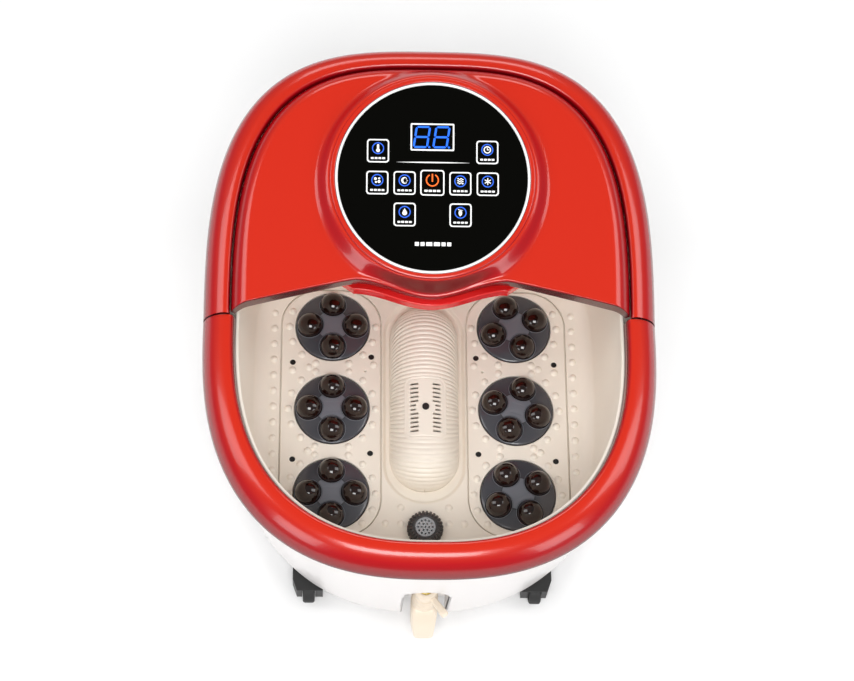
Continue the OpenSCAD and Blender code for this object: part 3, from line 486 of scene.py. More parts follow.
bezel = [(PANEL_R + 0.3, 2.0), (PANEL_R + 0.3, 0.3), (PANEL_R + 0.6, 0.0), (PANEL_R + 1.2, -0.25),
         (PANEL_R + 2.4, -0.3), (BEZEL_R - 0.6, -0.1), (BEZEL_R, 0.3), (BEZEL_R + 0.4, 0.9), (BEZEL_R + 0.9, 1.0),
         (POD_START_R, POD_START_DEPTH)]
cover_loops = [bezel_loop(r, depth) for r, depth in bezel]
cover_loops += [cover_loop(share, back=EDGE_ROUND) for share in share_rows()]
for step in range(1, 7):
    a = radians(90 * step / 6)
    cover_loops.append(cover_loop(1, down=EDGE_ROUND * (1 - cos(a)), back=EDGE_ROUND * (1 - sin(a))))
cover_loops += [cover_loop(1, down=SKIRT - 0.5, back=SKIRT_LEAN - 0.4), cover_loop(1, down=SKIRT, back=SKIRT_LEAN)]
cover_loops += [cover_loop(1, SKIRT, SKIRT_LEAN + COVER_T - 0.6), cover_loop(1, COVER_T + 1, COVER_T)]
cover_loops += [cover_loop(share, COVER_T + 0.5, COVER_T) for share in (0.8, 0.5, 0.25, 0.1)]
cover_loops += [bezel_loop(BEZEL_R + 0.5, 5), bezel_loop(PANEL_R + 0.3, 5)]
piece("rear_cover", loft("rear_cover", cover_loops, ring=True, sharp=40), "red_gloss")

# the lip under the cover's middle, in a brighter red that is painted light
LIP_HALF_W, LIP_PROUD, LIP_BACK = 68.0, 4.0, 40.0
lip_low, lip_high = box_mm("pod_underside")
lip_x = np.linspace(-LIP_HALF_W, LIP_HALF_W, 49)
lip_front = [(x, front_edge(x) - LIP_PROUD * (1 - smooth(abs(x) / LIP_HALF_W))) for x in lip_x]
lip_back = [(lip_high[0], LIP_BACK), (lip_high[0], lip_high[1]), (-lip_high[0], lip_high[1]), (-lip_high[0], LIP_BACK)]
lip = plate("pod_underside", np.array(lip_front + lip_back), [], lip_low[2], lip_high[2], edge=1.2)
piece("pod_underside", lip, "red_gloss", material=LIP_RED_PAINTED_LIGHT)

# ---- tub ----

FLOOR_Z = 84.0
POCKET_Z = box_mm("right_foot_plate")[0][2]
TUB_TOP_Z = 215.5
TUB_TOP_INSET = 32.0
TUB_BACK_Y = 128.0
TUB_FOOT = np.array([157.5, 168.0, 138.0])
TUB_POWERS = (3.2, 2.5)
TUB_BEND = 13.0         # radius of the bend from the wall to the floor
WALL = 3.0
TURN = np.arange(240) * 2 * pi / 240        # polar angles of a closed outline
PLATE_GAP = 1.2
WELL_R, WELL_Z = 36.0, 71.0
SIDES = (("left", -1), ("right", 1))
ROWS = ("front", "middle", "rear")
disc_places = {f"{side}_{row}": joint_mm(f"{side}_{row}_disc_spin") for side, _ in SIDES for row in ROWS}
DISC_X = disc_places["right_middle"][0]
strainer_low, strainer_high = box_mm("drain_strainer")
DRAIN = ((strainer_low + strainer_high) / 2)[:2]


def tub_outline(t, level, grow):
    top = np.array([HALF_W - TUB_TOP_INSET, FRONT - TUB_TOP_INSET, TUB_BACK_Y - CORE_Y])
    half, front, back = TUB_FOOT * (1 - level) + top * level + grow
    return outline(t, half, front, back, TUB_POWERS[0] * (1 - level) + TUB_POWERS[1] * level, 4)


def tub_loop(level, grow, z):
    x, y = tub_outline(TURN, level, grow)
    return np.column_stack([x, y, np.full(len(TURN), z)])


def tub_profile():
    """(level, growth, height) from the outside of the floor up over the lip and down to the inside of the floor."""
    outside = [(0, -8, POCKET_Z - WALL), (0.02, 0, POCKET_Z), (0.1, WALL, POCKET_Z + 9), (1, WALL, TUB_TOP_Z - 0.8),
               (1, WALL - 0.8, TUB_TOP_Z)]
    inside = [(1, 0.8, TUB_TOP_Z), (1, 0, TUB_TOP_Z - 0.8)]
    rise = TUB_TOP_Z - 0.8 - FLOOR_Z - TUB_BEND
    inside += [(0.1 + 0.9 * k / 8, 0, FLOOR_Z + TUB_BEND + rise * k / 8) for k in range(7, 0, -1)]
    for k in range(11):
        a = radians(90 * k / 10)
        inside.append((0.1 * (1 - sin(a)), -TUB_BEND * (1 - cos(a)), FLOOR_Z + TUB_BEND * (1 - sin(a))))
    return outside + inside


tub_solid = loft("tub", [tub_loop(*row) for row in tub_profile()], caps=True)

PLATE_IN_X, PLATE_W, PLATE_FRONT, PLATE_BACK, PLATE_CORNER = 40.5, 92.5, -165.0, 80.0, 36.0
PLATE_SCREWS = [(122.5, 6), (121.5, -91), (49.2, 12), (50, -84.6)]
PLATE_HOLE_R, SCREW_HOLE_R, PIN_HOLE_R = 35.0, 2.7, 0.8
PIN_HOLE = (55, -2.5)


def foot_plate_outline():
    raw = rounded_box_outline(PLATE_W, PLATE_BACK - PLATE_FRONT, PLATE_CORNER,
                              (PLATE_IN_X + PLATE_W / 2, (PLATE_FRONT + PLATE_BACK) / 2), 24)
    points = []
    for x, y in raw:
        t = atan2(y - CORE_Y, x)
        tub_x, tub_y = tub_outline(t, 0, -4)
        limit = np.hypot(tub_x, tub_y - CORE_Y)
        shrink = min(1, limit / np.hypot(x, y - CORE_Y))
        points.append((x * shrink, CORE_Y + (y - CORE_Y) * shrink))
    return np.array(points)


def mirrored(points):
    return np.asarray(points)[::-1] * [-1, 1]


plate_outline = foot_plate_outline()
TROUGH_W, TROUGH_FRONT, TROUGH_BACK = 37.0, -132.0, 71.0


def trough_outline(grow):
    w = TROUGH_W + grow
    front = [(w * cos(a), TROUGH_FRONT + TROUGH_W + w * sin(a)) for a in np.linspace(-pi, 0, 49)]
    back = [(w * cos(a), TROUGH_BACK - TROUGH_W + w * sin(a)) for a in np.linspace(0, pi, 49)]
    return np.array(front + back)


def trough_cutter():
    rows = [(-3.2, POCKET_Z), (-1.6, POCKET_Z + 0.35), (-0.4, POCKET_Z + 1.4), (0.4, POCKET_Z + 2.8)]
    rows += [(1.0, FLOOR_Z - 0.5), (1.9, FLOOR_Z - 0.08), (3.0, FLOOR_Z + 0.3), (3.0, FLOOR_Z + 6)]
    loops = []
    for grow, z in rows:
        points = trough_outline(grow)
        loops.append(np.column_stack([points, np.full(len(points), z)]))
    return loft("trough", loops, caps=True)


SHAFT_HOLE_R, CUP_BOSS_R, CUP_BOSS_Z = 5.05, 9.0, WELL_Z - 11
DRAIN_HOLE_R = 6.5
cutters = [trough_cutter()]
for points in (plate_outline, mirrored(plate_outline)):
    cutters.append(prism("pocket", grown(points, PLATE_GAP), POCKET_Z, POCKET_Z + 12))
for x, y, _ in disc_places.values():
    cutters.append(prism("well", circle(WELL_R, (x, y), 96), WELL_Z, POCKET_Z + 9))
    cutters.append(prism("shaft", circle(SHAFT_HOLE_R, (x, y), 48), WELL_Z - 20, WELL_Z + 1))
cutters.append(prism("drain", circle(DRAIN_HOLE_R, DRAIN, 48), FLOOR_Z - 20, FLOOR_Z + 9))
well_cups = []
for x, y, _ in disc_places.values():
    cup = [(SHAFT_HOLE_R, CUP_BOSS_Z), (SHAFT_HOLE_R, WELL_Z), (WELL_R, WELL_Z), (WELL_R, POCKET_Z - 0.2),
           (WELL_R + 2.5, POCKET_Z - 0.2), (WELL_R + 2.5, WELL_Z - WALL), (CUP_BOSS_R, WELL_Z - WALL),
           (CUP_BOSS_R, CUP_BOSS_Z)]
    well_cups.append(lathe("cup", cup, (x, y), ring=True))
tub = carve(tub_solid, cutters, sharp=28)

# the flange that carries the tub on the shell, under the rim
flange_outer = np.column_stack(outline(TURN, HALF_W - 14, FRONT - 10.5, BACK - 20))
flange_inner = np.column_stack(tub_outline(TURN, 1, 1))
flange = carve(plate("flange", flange_outer, [flange_inner], RIM_Z - 1, RIM_Z + 2),
               [prism("gap", rounded_box_outline(220, 45, 1, (0, TUB_BACK_Y + 40.5), 2), RIM_Z - 9, RIM_Z + 9)])

NUB_PROFILE = [(3.9, -0.05), (3.35, 0.12), (3.0, 0.55), (2.5, 1.15), (1.8, 1.65), (1.0, 1.93), (0.0, 2.02)]
FLOOR_NUBS = [(140, -102 + 15.8 * k) for k in range(11)] + [(22, -137.6), (22, -153), (36, -153)]
nub = lathe("nub", NUB_PROFILE, steps=28)
floor_nubs = [(nub, at(side * x, y, FLOOR_Z)) for _, side in SIDES for x, y in FLOOR_NUBS]
piece("inner_basin", joined("inner_basin", [tub, flange] + well_cups + floor_nubs, 28), "beige_plastic")

# ---- foot plates ----

NUB_RING_R = 40.5
NUB_RING_STEPS = 16
NUB_CLEAR = 4.5
PLATE_T = 4.0


def plate_nubs():
    """Nubs in a ring round each disc, and a few more in the gaps between the discs."""
    places = []
    rows = [disc_places[f"right_{row}"] for row in ROWS]
    for index, (x, y, _) in enumerate(rows):
        for k in range(NUB_RING_STEPS):
            between = (k == 4 and index < 2) or (k == 12 and index > 0)
            if not between:
                a = 2 * pi * k / NUB_RING_STEPS
                places.append((x + NUB_RING_R * cos(a), y + NUB_RING_R * sin(a)))
    for low, high in zip(rows, rows[1:]):
        middle = (low[1] + high[1]) / 2
        places += [(DISC_X + 37, middle - 3), (DISC_X - 38.5, middle + 3), (DISC_X + 22, middle)]
    return [p for p in places if fits_plate(*p)]


def fits_plate(x, y):
    clear = min(np.hypot(x - sx, y - sy) for sx, sy in PLATE_SCREWS) > SCREW_HOLE_R + NUB_CLEAR - 0.6
    edge = np.min(np.linalg.norm(plate_outline - [x, y], axis=1))
    inside = point_inside(plate_outline, x, y)
    return clear and inside and edge > NUB_CLEAR


def point_inside(points, x, y):
    a, b = np.asarray(points), np.roll(points, -1, 0)
    crossing = (a[:, 1] > y) != (b[:, 1] > y)
    at_x = a[:, 0] + (y - a[:, 1]) * (b[:, 0] - a[:, 0]) / (b[:, 1] - a[:, 1] + 1e-12)
    return np.count_nonzero(crossing & (x < at_x)) % 2 == 1


nubs_on_plate = plate_nubs()
for side, sign in SIDES:
    side_outline = plate_outline if sign > 0 else mirrored(plate_outline)
    holes = [circle(PLATE_HOLE_R, disc_places[f"{side}_{row}"][:2], 96) for row in ROWS]
    holes += [circle(SCREW_HOLE_R, (sign * x, y), 32) for x, y in PLATE_SCREWS]
    holes.append(circle(PIN_HOLE_R, (sign * PIN_HOLE[0], PIN_HOLE[1]), 16))
    base = plate("plate", side_outline, holes, POCKET_Z, POCKET_Z + PLATE_T, edge=0.9)
    nubs = [(nub, at(sign * x, y, POCKET_Z + PLATE_T)) for x, y in nubs_on_plate]
    name = f"{side}_foot_plate"
    piece(name, joined(name, [base] + nubs), "beige_plastic")

# ---- hump ----

HUMP_R, HUMP_AXIS_Z, HUMP_FRONT, HUMP_BACK, HUMP_WALL = 32.0, 84.0, -121.0, 60.0, 3.0
RIB_PITCH, RIB_DEPTH = 4.1, 0.75
RIB_HINGE = (-20.0, -17.0)      # the ribs fan out from this line, given as (y, z)
GRILLE_Y, GRILLE_HALF_W, GRILLE_HALF_L, GRILLE_CORNER = -51.0, 18.5, 30.0, 7.0
SLOT_PITCH, SLOT_W, SLOT_IN, SLOT_OUT, SLOT_ROWS = 4.2, 1.8, 6.8, 14.2, 12
slots = [GRILLE_Y + (k - (SLOT_ROWS - 1) / 2) * SLOT_PITCH for k in range(SLOT_ROWS)]
slot_edges = [y + s * SLOT_W / 2 for y in slots for s in (-1, 1)]


def filled(marks, step):
    """Sorted stations that include the marks, no further apart than step."""
    out = []
    for a, b in zip(marks, marks[1:]):
        out += list(np.linspace(a, b, max(1, int(np.ceil((b - a) / step))) + 1)[:-1])
    return np.array(out + [marks[-1]])


def grille_distance(x, y):
    """How far outside the grille's rounded outline a point lies (negative inside)."""
    dx = abs(x) - GRILLE_HALF_W + GRILLE_CORNER
    dy = abs(y - GRILLE_Y) - GRILLE_HALF_L + GRILLE_CORNER
    return np.hypot(max(dx, 0), max(dy, 0)) + min(max(dx, dy), 0) - GRILLE_CORNER


def rib_depth(x, y, z, foot):
    phase = atan2(RIB_HINGE[0] - y, z - RIB_HINGE[1]) * (HUMP_AXIS_Z + HUMP_R - RIB_HINGE[1]) / RIB_PITCH
    saw = phase - np.floor(phase)
    groove = smooth(saw / 0.5) * smooth((1 - saw) / 0.22)
    away = grille_distance(x, y)
    grille = smooth((away - 0.6) / 1.0)
    line = np.exp(-((away + 1.6) / 0.45) ** 2)
    return RIB_DEPTH * (1 - groove) * grille * foot + 0.5 * line


def hump_mesh():
    front_y, back_y = HUMP_FRONT + HUMP_R, HUMP_BACK - HUMP_R
    stations = filled([front_y] + slot_edges + [back_y], 0.55)[::-1]
    dome = np.linspace(0, pi / 2, 92)[1:-1]
    turns = [asin(v / HUMP_R) for v in (SLOT_IN, SLOT_OUT)]
    half = filled([0.0] + turns + [pi / 2], radians(1.5))
    angles = np.concatenate([-half[:0:-1], half])
    loops = [(back_y + HUMP_R * sin(a), HUMP_R * cos(a), -a) for a in dome[::-1]]
    first = len(loops)
    loops += [(y, HUMP_R, 0.0) for y in stations]
    loops += [(front_y - HUMP_R * sin(a), HUMP_R * cos(a), a) for a in dome]
    rows = []
    for y, r, lean in loops:
        row = [(-r, y, POCKET_Z)]
        for t in angles:
            out = np.array([sin(t) * cos(lean), -sin(lean), cos(t) * cos(lean)])
            x, z = r * sin(t), HUMP_AXIS_Z + r * cos(t)
            foot = smooth((z - HUMP_AXIS_Z - 1.0) / 5)
            row.append(np.array([x, y, z]) - rib_depth(x, y, z, foot) * out)
        row.append((r, y, POCKET_Z))
        rows.append(row)
    middle = (SLOT_ROWS / 2 - 1, SLOT_ROWS / 2)     # the two rows that clear the screw
    columns = np.concatenate([[-pi / 2], angles, [pi / 2]])

    def is_slot(i, k):
        if not first <= i < first + len(stations) - 1:
            return False
        y = (stations[i - first] + stations[i - first + 1]) / 2
        x = abs(HUMP_R * sin((columns[k] + columns[k + 1]) / 2)) if k + 1 < len(columns) else 99
        near = int(np.argmin([abs(y - s) for s in slots]))
        inner = SLOT_IN + (2.2 if near in middle else 0)
        return abs(y - slots[near]) < SLOT_W / 2 and inner < x < SLOT_OUT

    return loft("hump", rows, wrap=False, skip=is_slot, sharp=60)


hump = piece("hump_cover", hump_mesh(), "beige_plastic")
thick = hump.modifiers.new("wall", "SOLIDIFY")
thick.thickness = HUMP_WALL * 0.8 * MM
thick.offset = -1
hump.modifiers.move(1, 0)

# ---- drain strainer ----

STRAINER_R, GRATE_R, NOTCHES, NOTCH_STEPS, GRATE_HOLE_R = 16.5, 9.0, 28, 10, 0.85


def notched(r, depth, z):
    """A loop at height z whose notches reach in by depth."""
    a = np.arange(NOTCHES * NOTCH_STEPS) * 2 * pi / (NOTCHES * NOTCH_STEPS)
    reach = r - depth * smooth((np.cos(a * NOTCHES) - 0.1) / 0.5)
    return np.column_stack([reach * np.cos(a), reach * np.sin(a), np.full(len(a), z)])


collar_rows = [(STRAINER_R, 1.4, 0), (STRAINER_R, 1.6, 5.2), (STRAINER_R - 0.9, 1.6, 6.6), (STRAINER_R - 2.8, 1.2, 8.1),
               (GRATE_R + 3.2, 0.7, 9.0), (GRATE_R + 1.4, 0, 9.0), (GRATE_R + 0.4, 0, 8.5), (GRATE_R + 0.2, 0, 6.0)]
collar = loft("collar", [notched(*row) for row in collar_rows])
grate_holes = [circle(GRATE_HOLE_R, steps=16)]
for count, ring_r in ((6, 3.3), (12, 6.6)):
    for x, y in circle(ring_r, steps=count):
        grate_holes.append(circle(GRATE_HOLE_R, (x, y), 16))
grate = plate("grate", circle(GRATE_R + 0.3, steps=64), grate_holes, 6.4, 8.2, edge=0.25)
place = at(DRAIN[0], DRAIN[1], FLOOR_Z)
piece("drain_strainer", collar, "dark_plastic", matrix=place)
piece("drain_grate", grate, "dark_plastic", matrix=place, material=GRATE)

# ---- discs and rollers ----

DISC_R, DISC_BOTTOM, DISC_EDGE_Z, DOME_H = 34.2, 72.0, 84.0, 5.0
ROLLER_R, ROLLER_RING, ROLLER_Z, POCKET_GAP = 12.0, 21.0, 86.5, 0.35
DOME_R = (DISC_R**2 + DOME_H**2) / (2 * DOME_H)
HUB_DEPTH, SHAFT_R = 6.0, 5.0
NECK_R = 15.3           # the star's necks lie this far from the disc's middle


def dome_z(r):
    return DISC_EDGE_Z + DOME_H - DOME_R + np.sqrt(DOME_R**2 - r**2)


def disc_mesh():
    profile = [(SHAFT_R, DISC_BOTTOM), (DISC_R - 0.6, DISC_BOTTOM), (DISC_R, DISC_BOTTOM + 0.6)]
    profile += [(DISC_R, DISC_EDGE_Z - 0.9), (DISC_R - 0.15, DISC_EDGE_Z - 0.35), (DISC_R - 0.6, DISC_EDGE_Z)]
    profile += [(r, dome_z(r)) for r in np.linspace(DISC_R - 1.2, 0, 40)]
    profile = [(0.0, DISC_BOTTOM + HUB_DEPTH), (SHAFT_R, DISC_BOTTOM + HUB_DEPTH)] + profile
    body = lathe("disc", profile, steps=180, sharp=30)
    balls = []
    for k in range(4):
        a = k * pi / 2
        ball = bpy.data.meshes.new("ball")
        bm = bmesh.new()
        bmesh.ops.create_uvsphere(bm, u_segments=96, v_segments=64, radius=(ROLLER_R + POCKET_GAP) * MM)
        bm.transform(Matrix.Translation(Vector((ROLLER_RING * cos(a), ROLLER_RING * sin(a), ROLLER_Z)) * MM))
        bm.to_mesh(ball)
        bm.free()
        balls.append(ball)
    return carve(body, balls, sharp=30)


def pocket_lip(k):
    """A thin bead round the mouth of pocket k, on the dome."""
    centre = ROLLER_RING * np.array([cos(k * pi / 2), sin(k * pi / 2)])
    loops = []
    for out in circle(1.0, steps=96):
        p = centre + (ROLLER_R + POCKET_GAP + 0.28) * out
        z = dome_z(np.hypot(*p))
        loops.append([(*(p + 0.32 * c * out), z - 0.03 + 0.3 * s) for c, s in circle(1.0, steps=8)])
    return loft("lip", loops, ring=True)


def star_mesh():
    """The cap in a disc's middle, whose four sides follow the pockets."""
    points = []
    for k in range(4):
        for a in np.linspace(radians(227), radians(133), 25):
            x, y = ROLLER_RING + 13.1 * cos(a), 13.1 * sin(a)
            points.append((x * cos(k * pi / 2) - y * sin(k * pi / 2), x * sin(k * pi / 2) + y * cos(k * pi / 2)))
    mesh = plate("star", np.array(points)[::-1], [], -1.4, 0.35, edge=0.35, steps=3)
    bm = bmesh.new()
    bm.from_mesh(mesh)
    bmesh.ops.triangulate(bm, faces=bm.faces)
    bmesh.ops.subdivide_edges(bm, edges=bm.edges, cuts=2, use_grid_fill=True)
    bm.to_mesh(mesh)
    bm.free()
    for vertex in mesh.vertices:
        r = np.hypot(vertex.co.x, vertex.co.y) / MM
        vertex.co.z += (dome_z(r) - 0.25 * smooth((6.5 - r) / 1.2)) * MM
    return finish_mesh(mesh, 40)


def neck_seam(k):
    """The dark joint where the star meets the outer cover between two pockets."""
    a = (k + 0.5) * pi / 2
    box = plate("seam", rounded_box_outline(0.55, 4.6, 0.2, steps=2), [], -0.5, 0.42, edge=0.1, steps=2)
    return box, at(NECK_R * cos(a), NECK_R * sin(a), dome_z(NECK_R), a)


disc_body = disc_mesh()
disc_lips = joined("disc_lips", [pocket_lip(k) for k in range(4)], 60)
star = star_mesh()
seams = joined("disc_seams", [neck_seam(k) for k in range(4)])


def roller_mesh():
    """A ball with a small flat and dimple at each end of its axle."""
    profile = [(0.0, -11.35), (1.6, -11.4), (2.1, -11.75)]
    profile += [(ROLLER_R * cos(a), ROLLER_R * sin(a)) for a in np.linspace(-radians(78), radians(78), 53)]
    profile += [(2.1, 11.75), (1.6, 11.4), (0.0, 11.35)]
    mesh = lathe("roller", profile, steps=72, sharp=30)
    mesh.transform(Matrix.Rotation(pi / 2, 4, "Y"))
    return mesh


GEAR_TEETH, GEAR_TIP, GEAR_ROOT, GEAR_LOW, GEAR_HIGH, SPIGOT_R, SPIGOT_END = 29, 43.9, 38.73, 48.4, 56.0, 4.0, 34.0


def drive_mesh():
    """The gear under the floor, with its shaft up to the disc and the spigot below."""
    points = []
    for k in range(GEAR_TEETH):
        for r, part in ((GEAR_ROOT, -0.27), (GEAR_TIP, -0.1), (GEAR_TIP, 0.1), (GEAR_ROOT, 0.27)):
            a = pi / 2 + 2 * pi * (k + part) / GEAR_TEETH
            points.append((r * cos(a), r * sin(a)))
    top = DISC_BOTTOM + HUB_DEPTH - 0.1
    shaft = [(0, GEAR_HIGH), (SHAFT_R, GEAR_HIGH), (SHAFT_R, top), (0, top)]
    spigot = [(0, SPIGOT_END), (SPIGOT_R - 0.6, SPIGOT_END), (SPIGOT_R, SPIGOT_END + 0.6), (SPIGOT_R, GEAR_LOW),
              (0, GEAR_LOW)]
    gear = prism("gear", points, GEAR_LOW, GEAR_HIGH)
    return joined("disc_drive", [gear, lathe("shaft", shaft), lathe("spigot", spigot)])


roller = roller_mesh()
drive = drive_mesh()
for name, place in disc_places.items():
    body = f"{name}_disc"
    first = joint_mm(f"{name}_roller_1_spin")
    turn = atan2(first[1] - place[1], first[0] - place[0])
    spot = at(place[0], place[1], 0, turn)
    piece(body, disc_body, "disc_plastic", body, spot)
    piece(f"{name}_drive", drive, "cream_plastic", body, at(place[0], place[1], 0))
    # the pocket lips take the lighter grey as a painted highlight line round each pocket
    piece(f"{name}_lips", disc_lips, "disc_plastic", body, spot, STAR_AND_LIP_HIGHLIGHT)
    piece(f"{name}_star", star, "disc_plastic", body, spot, STAR_AND_LIP_HIGHLIGHT)
    piece(f"{name}_seams", seams, "disc_plastic", body, spot, BLACK)
    for k in range(1, 5):
        node = f"{name}_roller_{k}"
        x, y, z = joint_mm(f"{node}_spin")
        piece(node, roller, "roller_plastic", node, at(x, y, z, turn + (k - 1) * pi / 2))

# ---- control panel ----

ring_profile = [(GLASS_R, -4), (GLASS_R, -0.35), (GLASS_R + 0.3, 0.15), (GLASS_R + 0.8, 0.38), (GLASS_R + 1.2, 0.4),
                (PANEL_R - 0.7, 0.35), (PANEL_R - 0.2, 0.1), (PANEL_R, -0.4), (PANEL_R, -4)]
piece("panel_ring", lathe("panel_ring", ring_profile, steps=240, ring=True), "white_ring", matrix=PANEL_PLACE)
GLASS_TOP = -0.4
glass_profile = [(0, -3.4), (GLASS_R - 0.05, -3.4), (GLASS_R - 0.05, GLASS_TOP - 0.2), (GLASS_R - 0.25, GLASS_TOP),
                 (0, GLASS_TOP)]
piece("panel_glass", lathe("panel_glass", glass_profile, steps=240), "black_glass", matrix=PANEL_PLACE)

PRINT_LOW, PRINT_HIGH = GLASS_TOP - 0.02, GLASS_TOP + 0.04
KEY_W, KEY_H, KEY_LINE, KEY_CORNER = 19.4, 21.0, 1.15, 2.8
KEY_RING_R, KEY_RING_LINE, KEY_RING_UP = 5.3, 0.95, 2.3
printed = {"white": [], "blue": [], "orange": [], "digits": []}


def mark(ink, outer, holes=()):
    printed[ink].append(plate("mark", outer, holes, PRINT_LOW, PRINT_HIGH))


def stroke(ink, points, width):
    """A line of constant width with square ends."""
    p = np.array(points, float)
    step = np.gradient(p, axis=0)
    step /= np.linalg.norm(step, axis=1)[:, None]
    side = np.stack([-step[:, 1], step[:, 0]], 1) * width / 2
    mark(ink, np.vstack([p + side, (p - side)[::-1]])[::-1])


def arc(r, start, end, centre=(0, 0), steps=40):
    a = np.radians(np.linspace(start, end, steps))
    return np.stack([centre[0] + r * np.cos(a), centre[1] + r * np.sin(a)], 1)


def frame_mark(w, h, line, corner, centre):
    hole = rounded_box_outline(w - 2 * line, h - 2 * line, corner - line * 0.6, centre)
    mark("white", rounded_box_outline(w, h, corner, centre), [hole])


def ring_mark(ink, r, line, centre):
    mark(ink, circle(r, centre), [circle(r - line, centre)])


def caption(u, v, widths, height, gap=0.7):
    """A row of plain blocks where a label would be printed."""
    x = u - (sum(widths) + gap * (len(widths) - 1)) / 2
    for w in widths:
        mark("white", rounded_box_outline(w, height, 0.4, (x + w / 2, v), 3))
        x += w + gap


def thermometer(u, v):
    mark("white", circle(1.7, (u, v - 1.9), 24))
    mark("white", rounded_box_outline(1.9, 5.6, 0.9, (u, v + 0.9)))


def clock(u, v):
    ring_mark("white", 3.3, 1.0, (u, v))
    stroke("white", [(u, v + 1.9), (u, v - 0.3)], 0.8)
    stroke("white", [(u - 0.3, v), (u + 1.7, v)], 0.8)


def bubbles(u, v):
    for x, y, r in ((-1.7, 1.2, 1.3), (1.6, 1.5, 0.95), (-1.2, -1.7, 0.95), (1.5, -1.3, 1.35)):
        mark("white", circle(r, (u + x, v + y), 20))


def moon(u, v):
    outer, inner = arc(3.0, 60, 300, (u, v)), arc(2.35, 290, 70, (u + 1.2, v))
    mark("white", np.vstack([outer, inner]))
    for x, y in ((1.6, 1.4), (2.3, -0.2), (1.4, -1.6)):
        mark("white", circle(0.45, (u + x, v + y), 12))


def power(u, v):
    stroke("orange", arc(5.2, 118, 422, (u, v)), 1.1)
    stroke("orange", [(u, v + 5.6), (u, v - 1.4)], 1.2)


def waves(u, v):
    for shift in (-1.9, 0, 1.9):
        x = np.linspace(-2.7, 2.7, 24)
        stroke("white", np.stack([u + x, v + shift + 0.55 * np.sin(x * 2.3)], 1), 0.75)


def snowflake(u, v):
    for k in range(3):
        a = radians(90 + 60 * k)
        arm = 3.1 * np.array([cos(a), sin(a)])
        stroke("white", [(u - arm[0], v - arm[1]), (u + arm[0], v + arm[1])], 0.85)


def drop(u, v):
    body = arc(2.1, 150, 390, (u, v - 0.9))
    mark("white", np.vstack([body, [(u, v + 3.4)]]))


def foot(u, v):
    a = np.linspace(0, 2 * pi, 32, endpoint=False)
    mark("white", np.stack([u - 0.2 + (1.55 + 0.25 * np.sin(a)) * np.cos(a), v - 0.6 + 2.5 * np.sin(a)], 1))
    for k in range(4):
        mark("white", circle(0.52 - 0.05 * k, (u - 1.7 + 1.15 * k, v + 2.7 - 0.28 * k), 12))


KEY_ROWS = [(23.2, {-48.2: thermometer, 47.6: clock}),
            (-5.3, {-48.6: bubbles, -24.8: moon, 24.0: waves, 48.0: snowflake}),
            (-33.4, {-24.6: drop, 24.2: foot})]
for v, keys in KEY_ROWS:
    for u, glyph in keys.items():
        frame_mark(KEY_W, KEY_H, KEY_LINE, KEY_CORNER, (u, v))
        ring_mark("blue", KEY_RING_R, KEY_RING_LINE, (u, v + KEY_RING_UP))
        glyph(u, v + KEY_RING_UP)
        caption(u, v - 6.6, [2.6] * 4, 1.7)
POWER_KEY = (-0.5, -4.8)
frame_mark(21.2, 23.0, KEY_LINE, KEY_CORNER, POWER_KEY)
power(POWER_KEY[0], POWER_KEY[1] + 2.4)
caption(POWER_KEY[0], POWER_KEY[1] - 7.2, [3.0] * 4, 1.9)
caption(0.3, -59.4, [3.6, 3.6, 5.4, 5.4, 3.6, 3.6], 3.4, 1.3)
RULE_HALF_L, RULE_V = 32.0, 13.4        # a rule under the display that tapers to both ends
rule_u = np.linspace(-RULE_HALF_L, RULE_HALF_L, 33)
rule_w = 0.55 * (1 - (rule_u / RULE_HALF_L) ** 2) + 0.03
mark("white", np.vstack([np.stack([rule_u, RULE_V - rule_w], 1), np.stack([rule_u, RULE_V + rule_w], 1)[::-1]]))

DISPLAY, DISPLAY_W, DISPLAY_H, DISPLAY_LINE = (-0.6, 36.2), 38.4, 24.6, 1.35
frame_mark(DISPLAY_W, DISPLAY_H, DISPLAY_LINE, 1.3, DISPLAY)
DIGIT_W, DIGIT_H, DIGIT_LINE, DIGIT_SLANT, DIGIT_GAP = 11.6, 18.2, 1.75, 0.15, 0.35


def digit(u, v):
    """A seven-segment eight with its point, leaning to the right."""
    half, quarter, line = DIGIT_W / 2, DIGIT_H / 2, DIGIT_LINE
    segments = []
    for y in (-quarter, 0, quarter):
        segments.append((-half + DIGIT_GAP, y, half - DIGIT_GAP, y))
    for x in (-half, half):
        segments += [(x, DIGIT_GAP, x, quarter - DIGIT_GAP), (x, -DIGIT_GAP, x, -quarter + DIGIT_GAP)]
    for x0, y0, x1, y1 in segments:
        along = np.array([x1 - x0, y1 - y0])
        along /= np.linalg.norm(along)
        side = np.array([-along[1], along[0]]) * line / 2
        a, b = np.array([x0, y0]), np.array([x1, y1])
        tip = along * line / 2
        hexagon = [a, a + tip + side, b - tip + side, b, b - tip - side, a + tip - side]
        mark("digits", np.array([(u + p[0] + DIGIT_SLANT * p[1], v + p[1]) for p in hexagon])[::-1])
    mark("digits", circle(0.95, (u + half + 2.1 - DIGIT_SLANT * quarter, v - quarter), 16))


digit(DISPLAY[0] - 9.3, DISPLAY[1])
digit(DISPLAY[0] + 7.9, DISPLAY[1])
for ink, marks in printed.items():
    piece(f"panel_{ink}", joined(f"panel_{ink}", marks), "panel_print", matrix=PANEL_PLACE, material=INKS[ink])

# ---- outer shell ----

SHELL_Z = box_mm("outer_shell")[0][2]
SHELL_BOTTOM = np.array([172.0, 199.0, 235.0])
SHELL_TOP_INSET = 6.0
SHELL_TOP = RIM_Z + 2
NICHE_HALF_W, NICHE_BACK, NICHE_ARCH_Z, NICHE_WALL = 20.0, -203.0, 108.0, 2.5


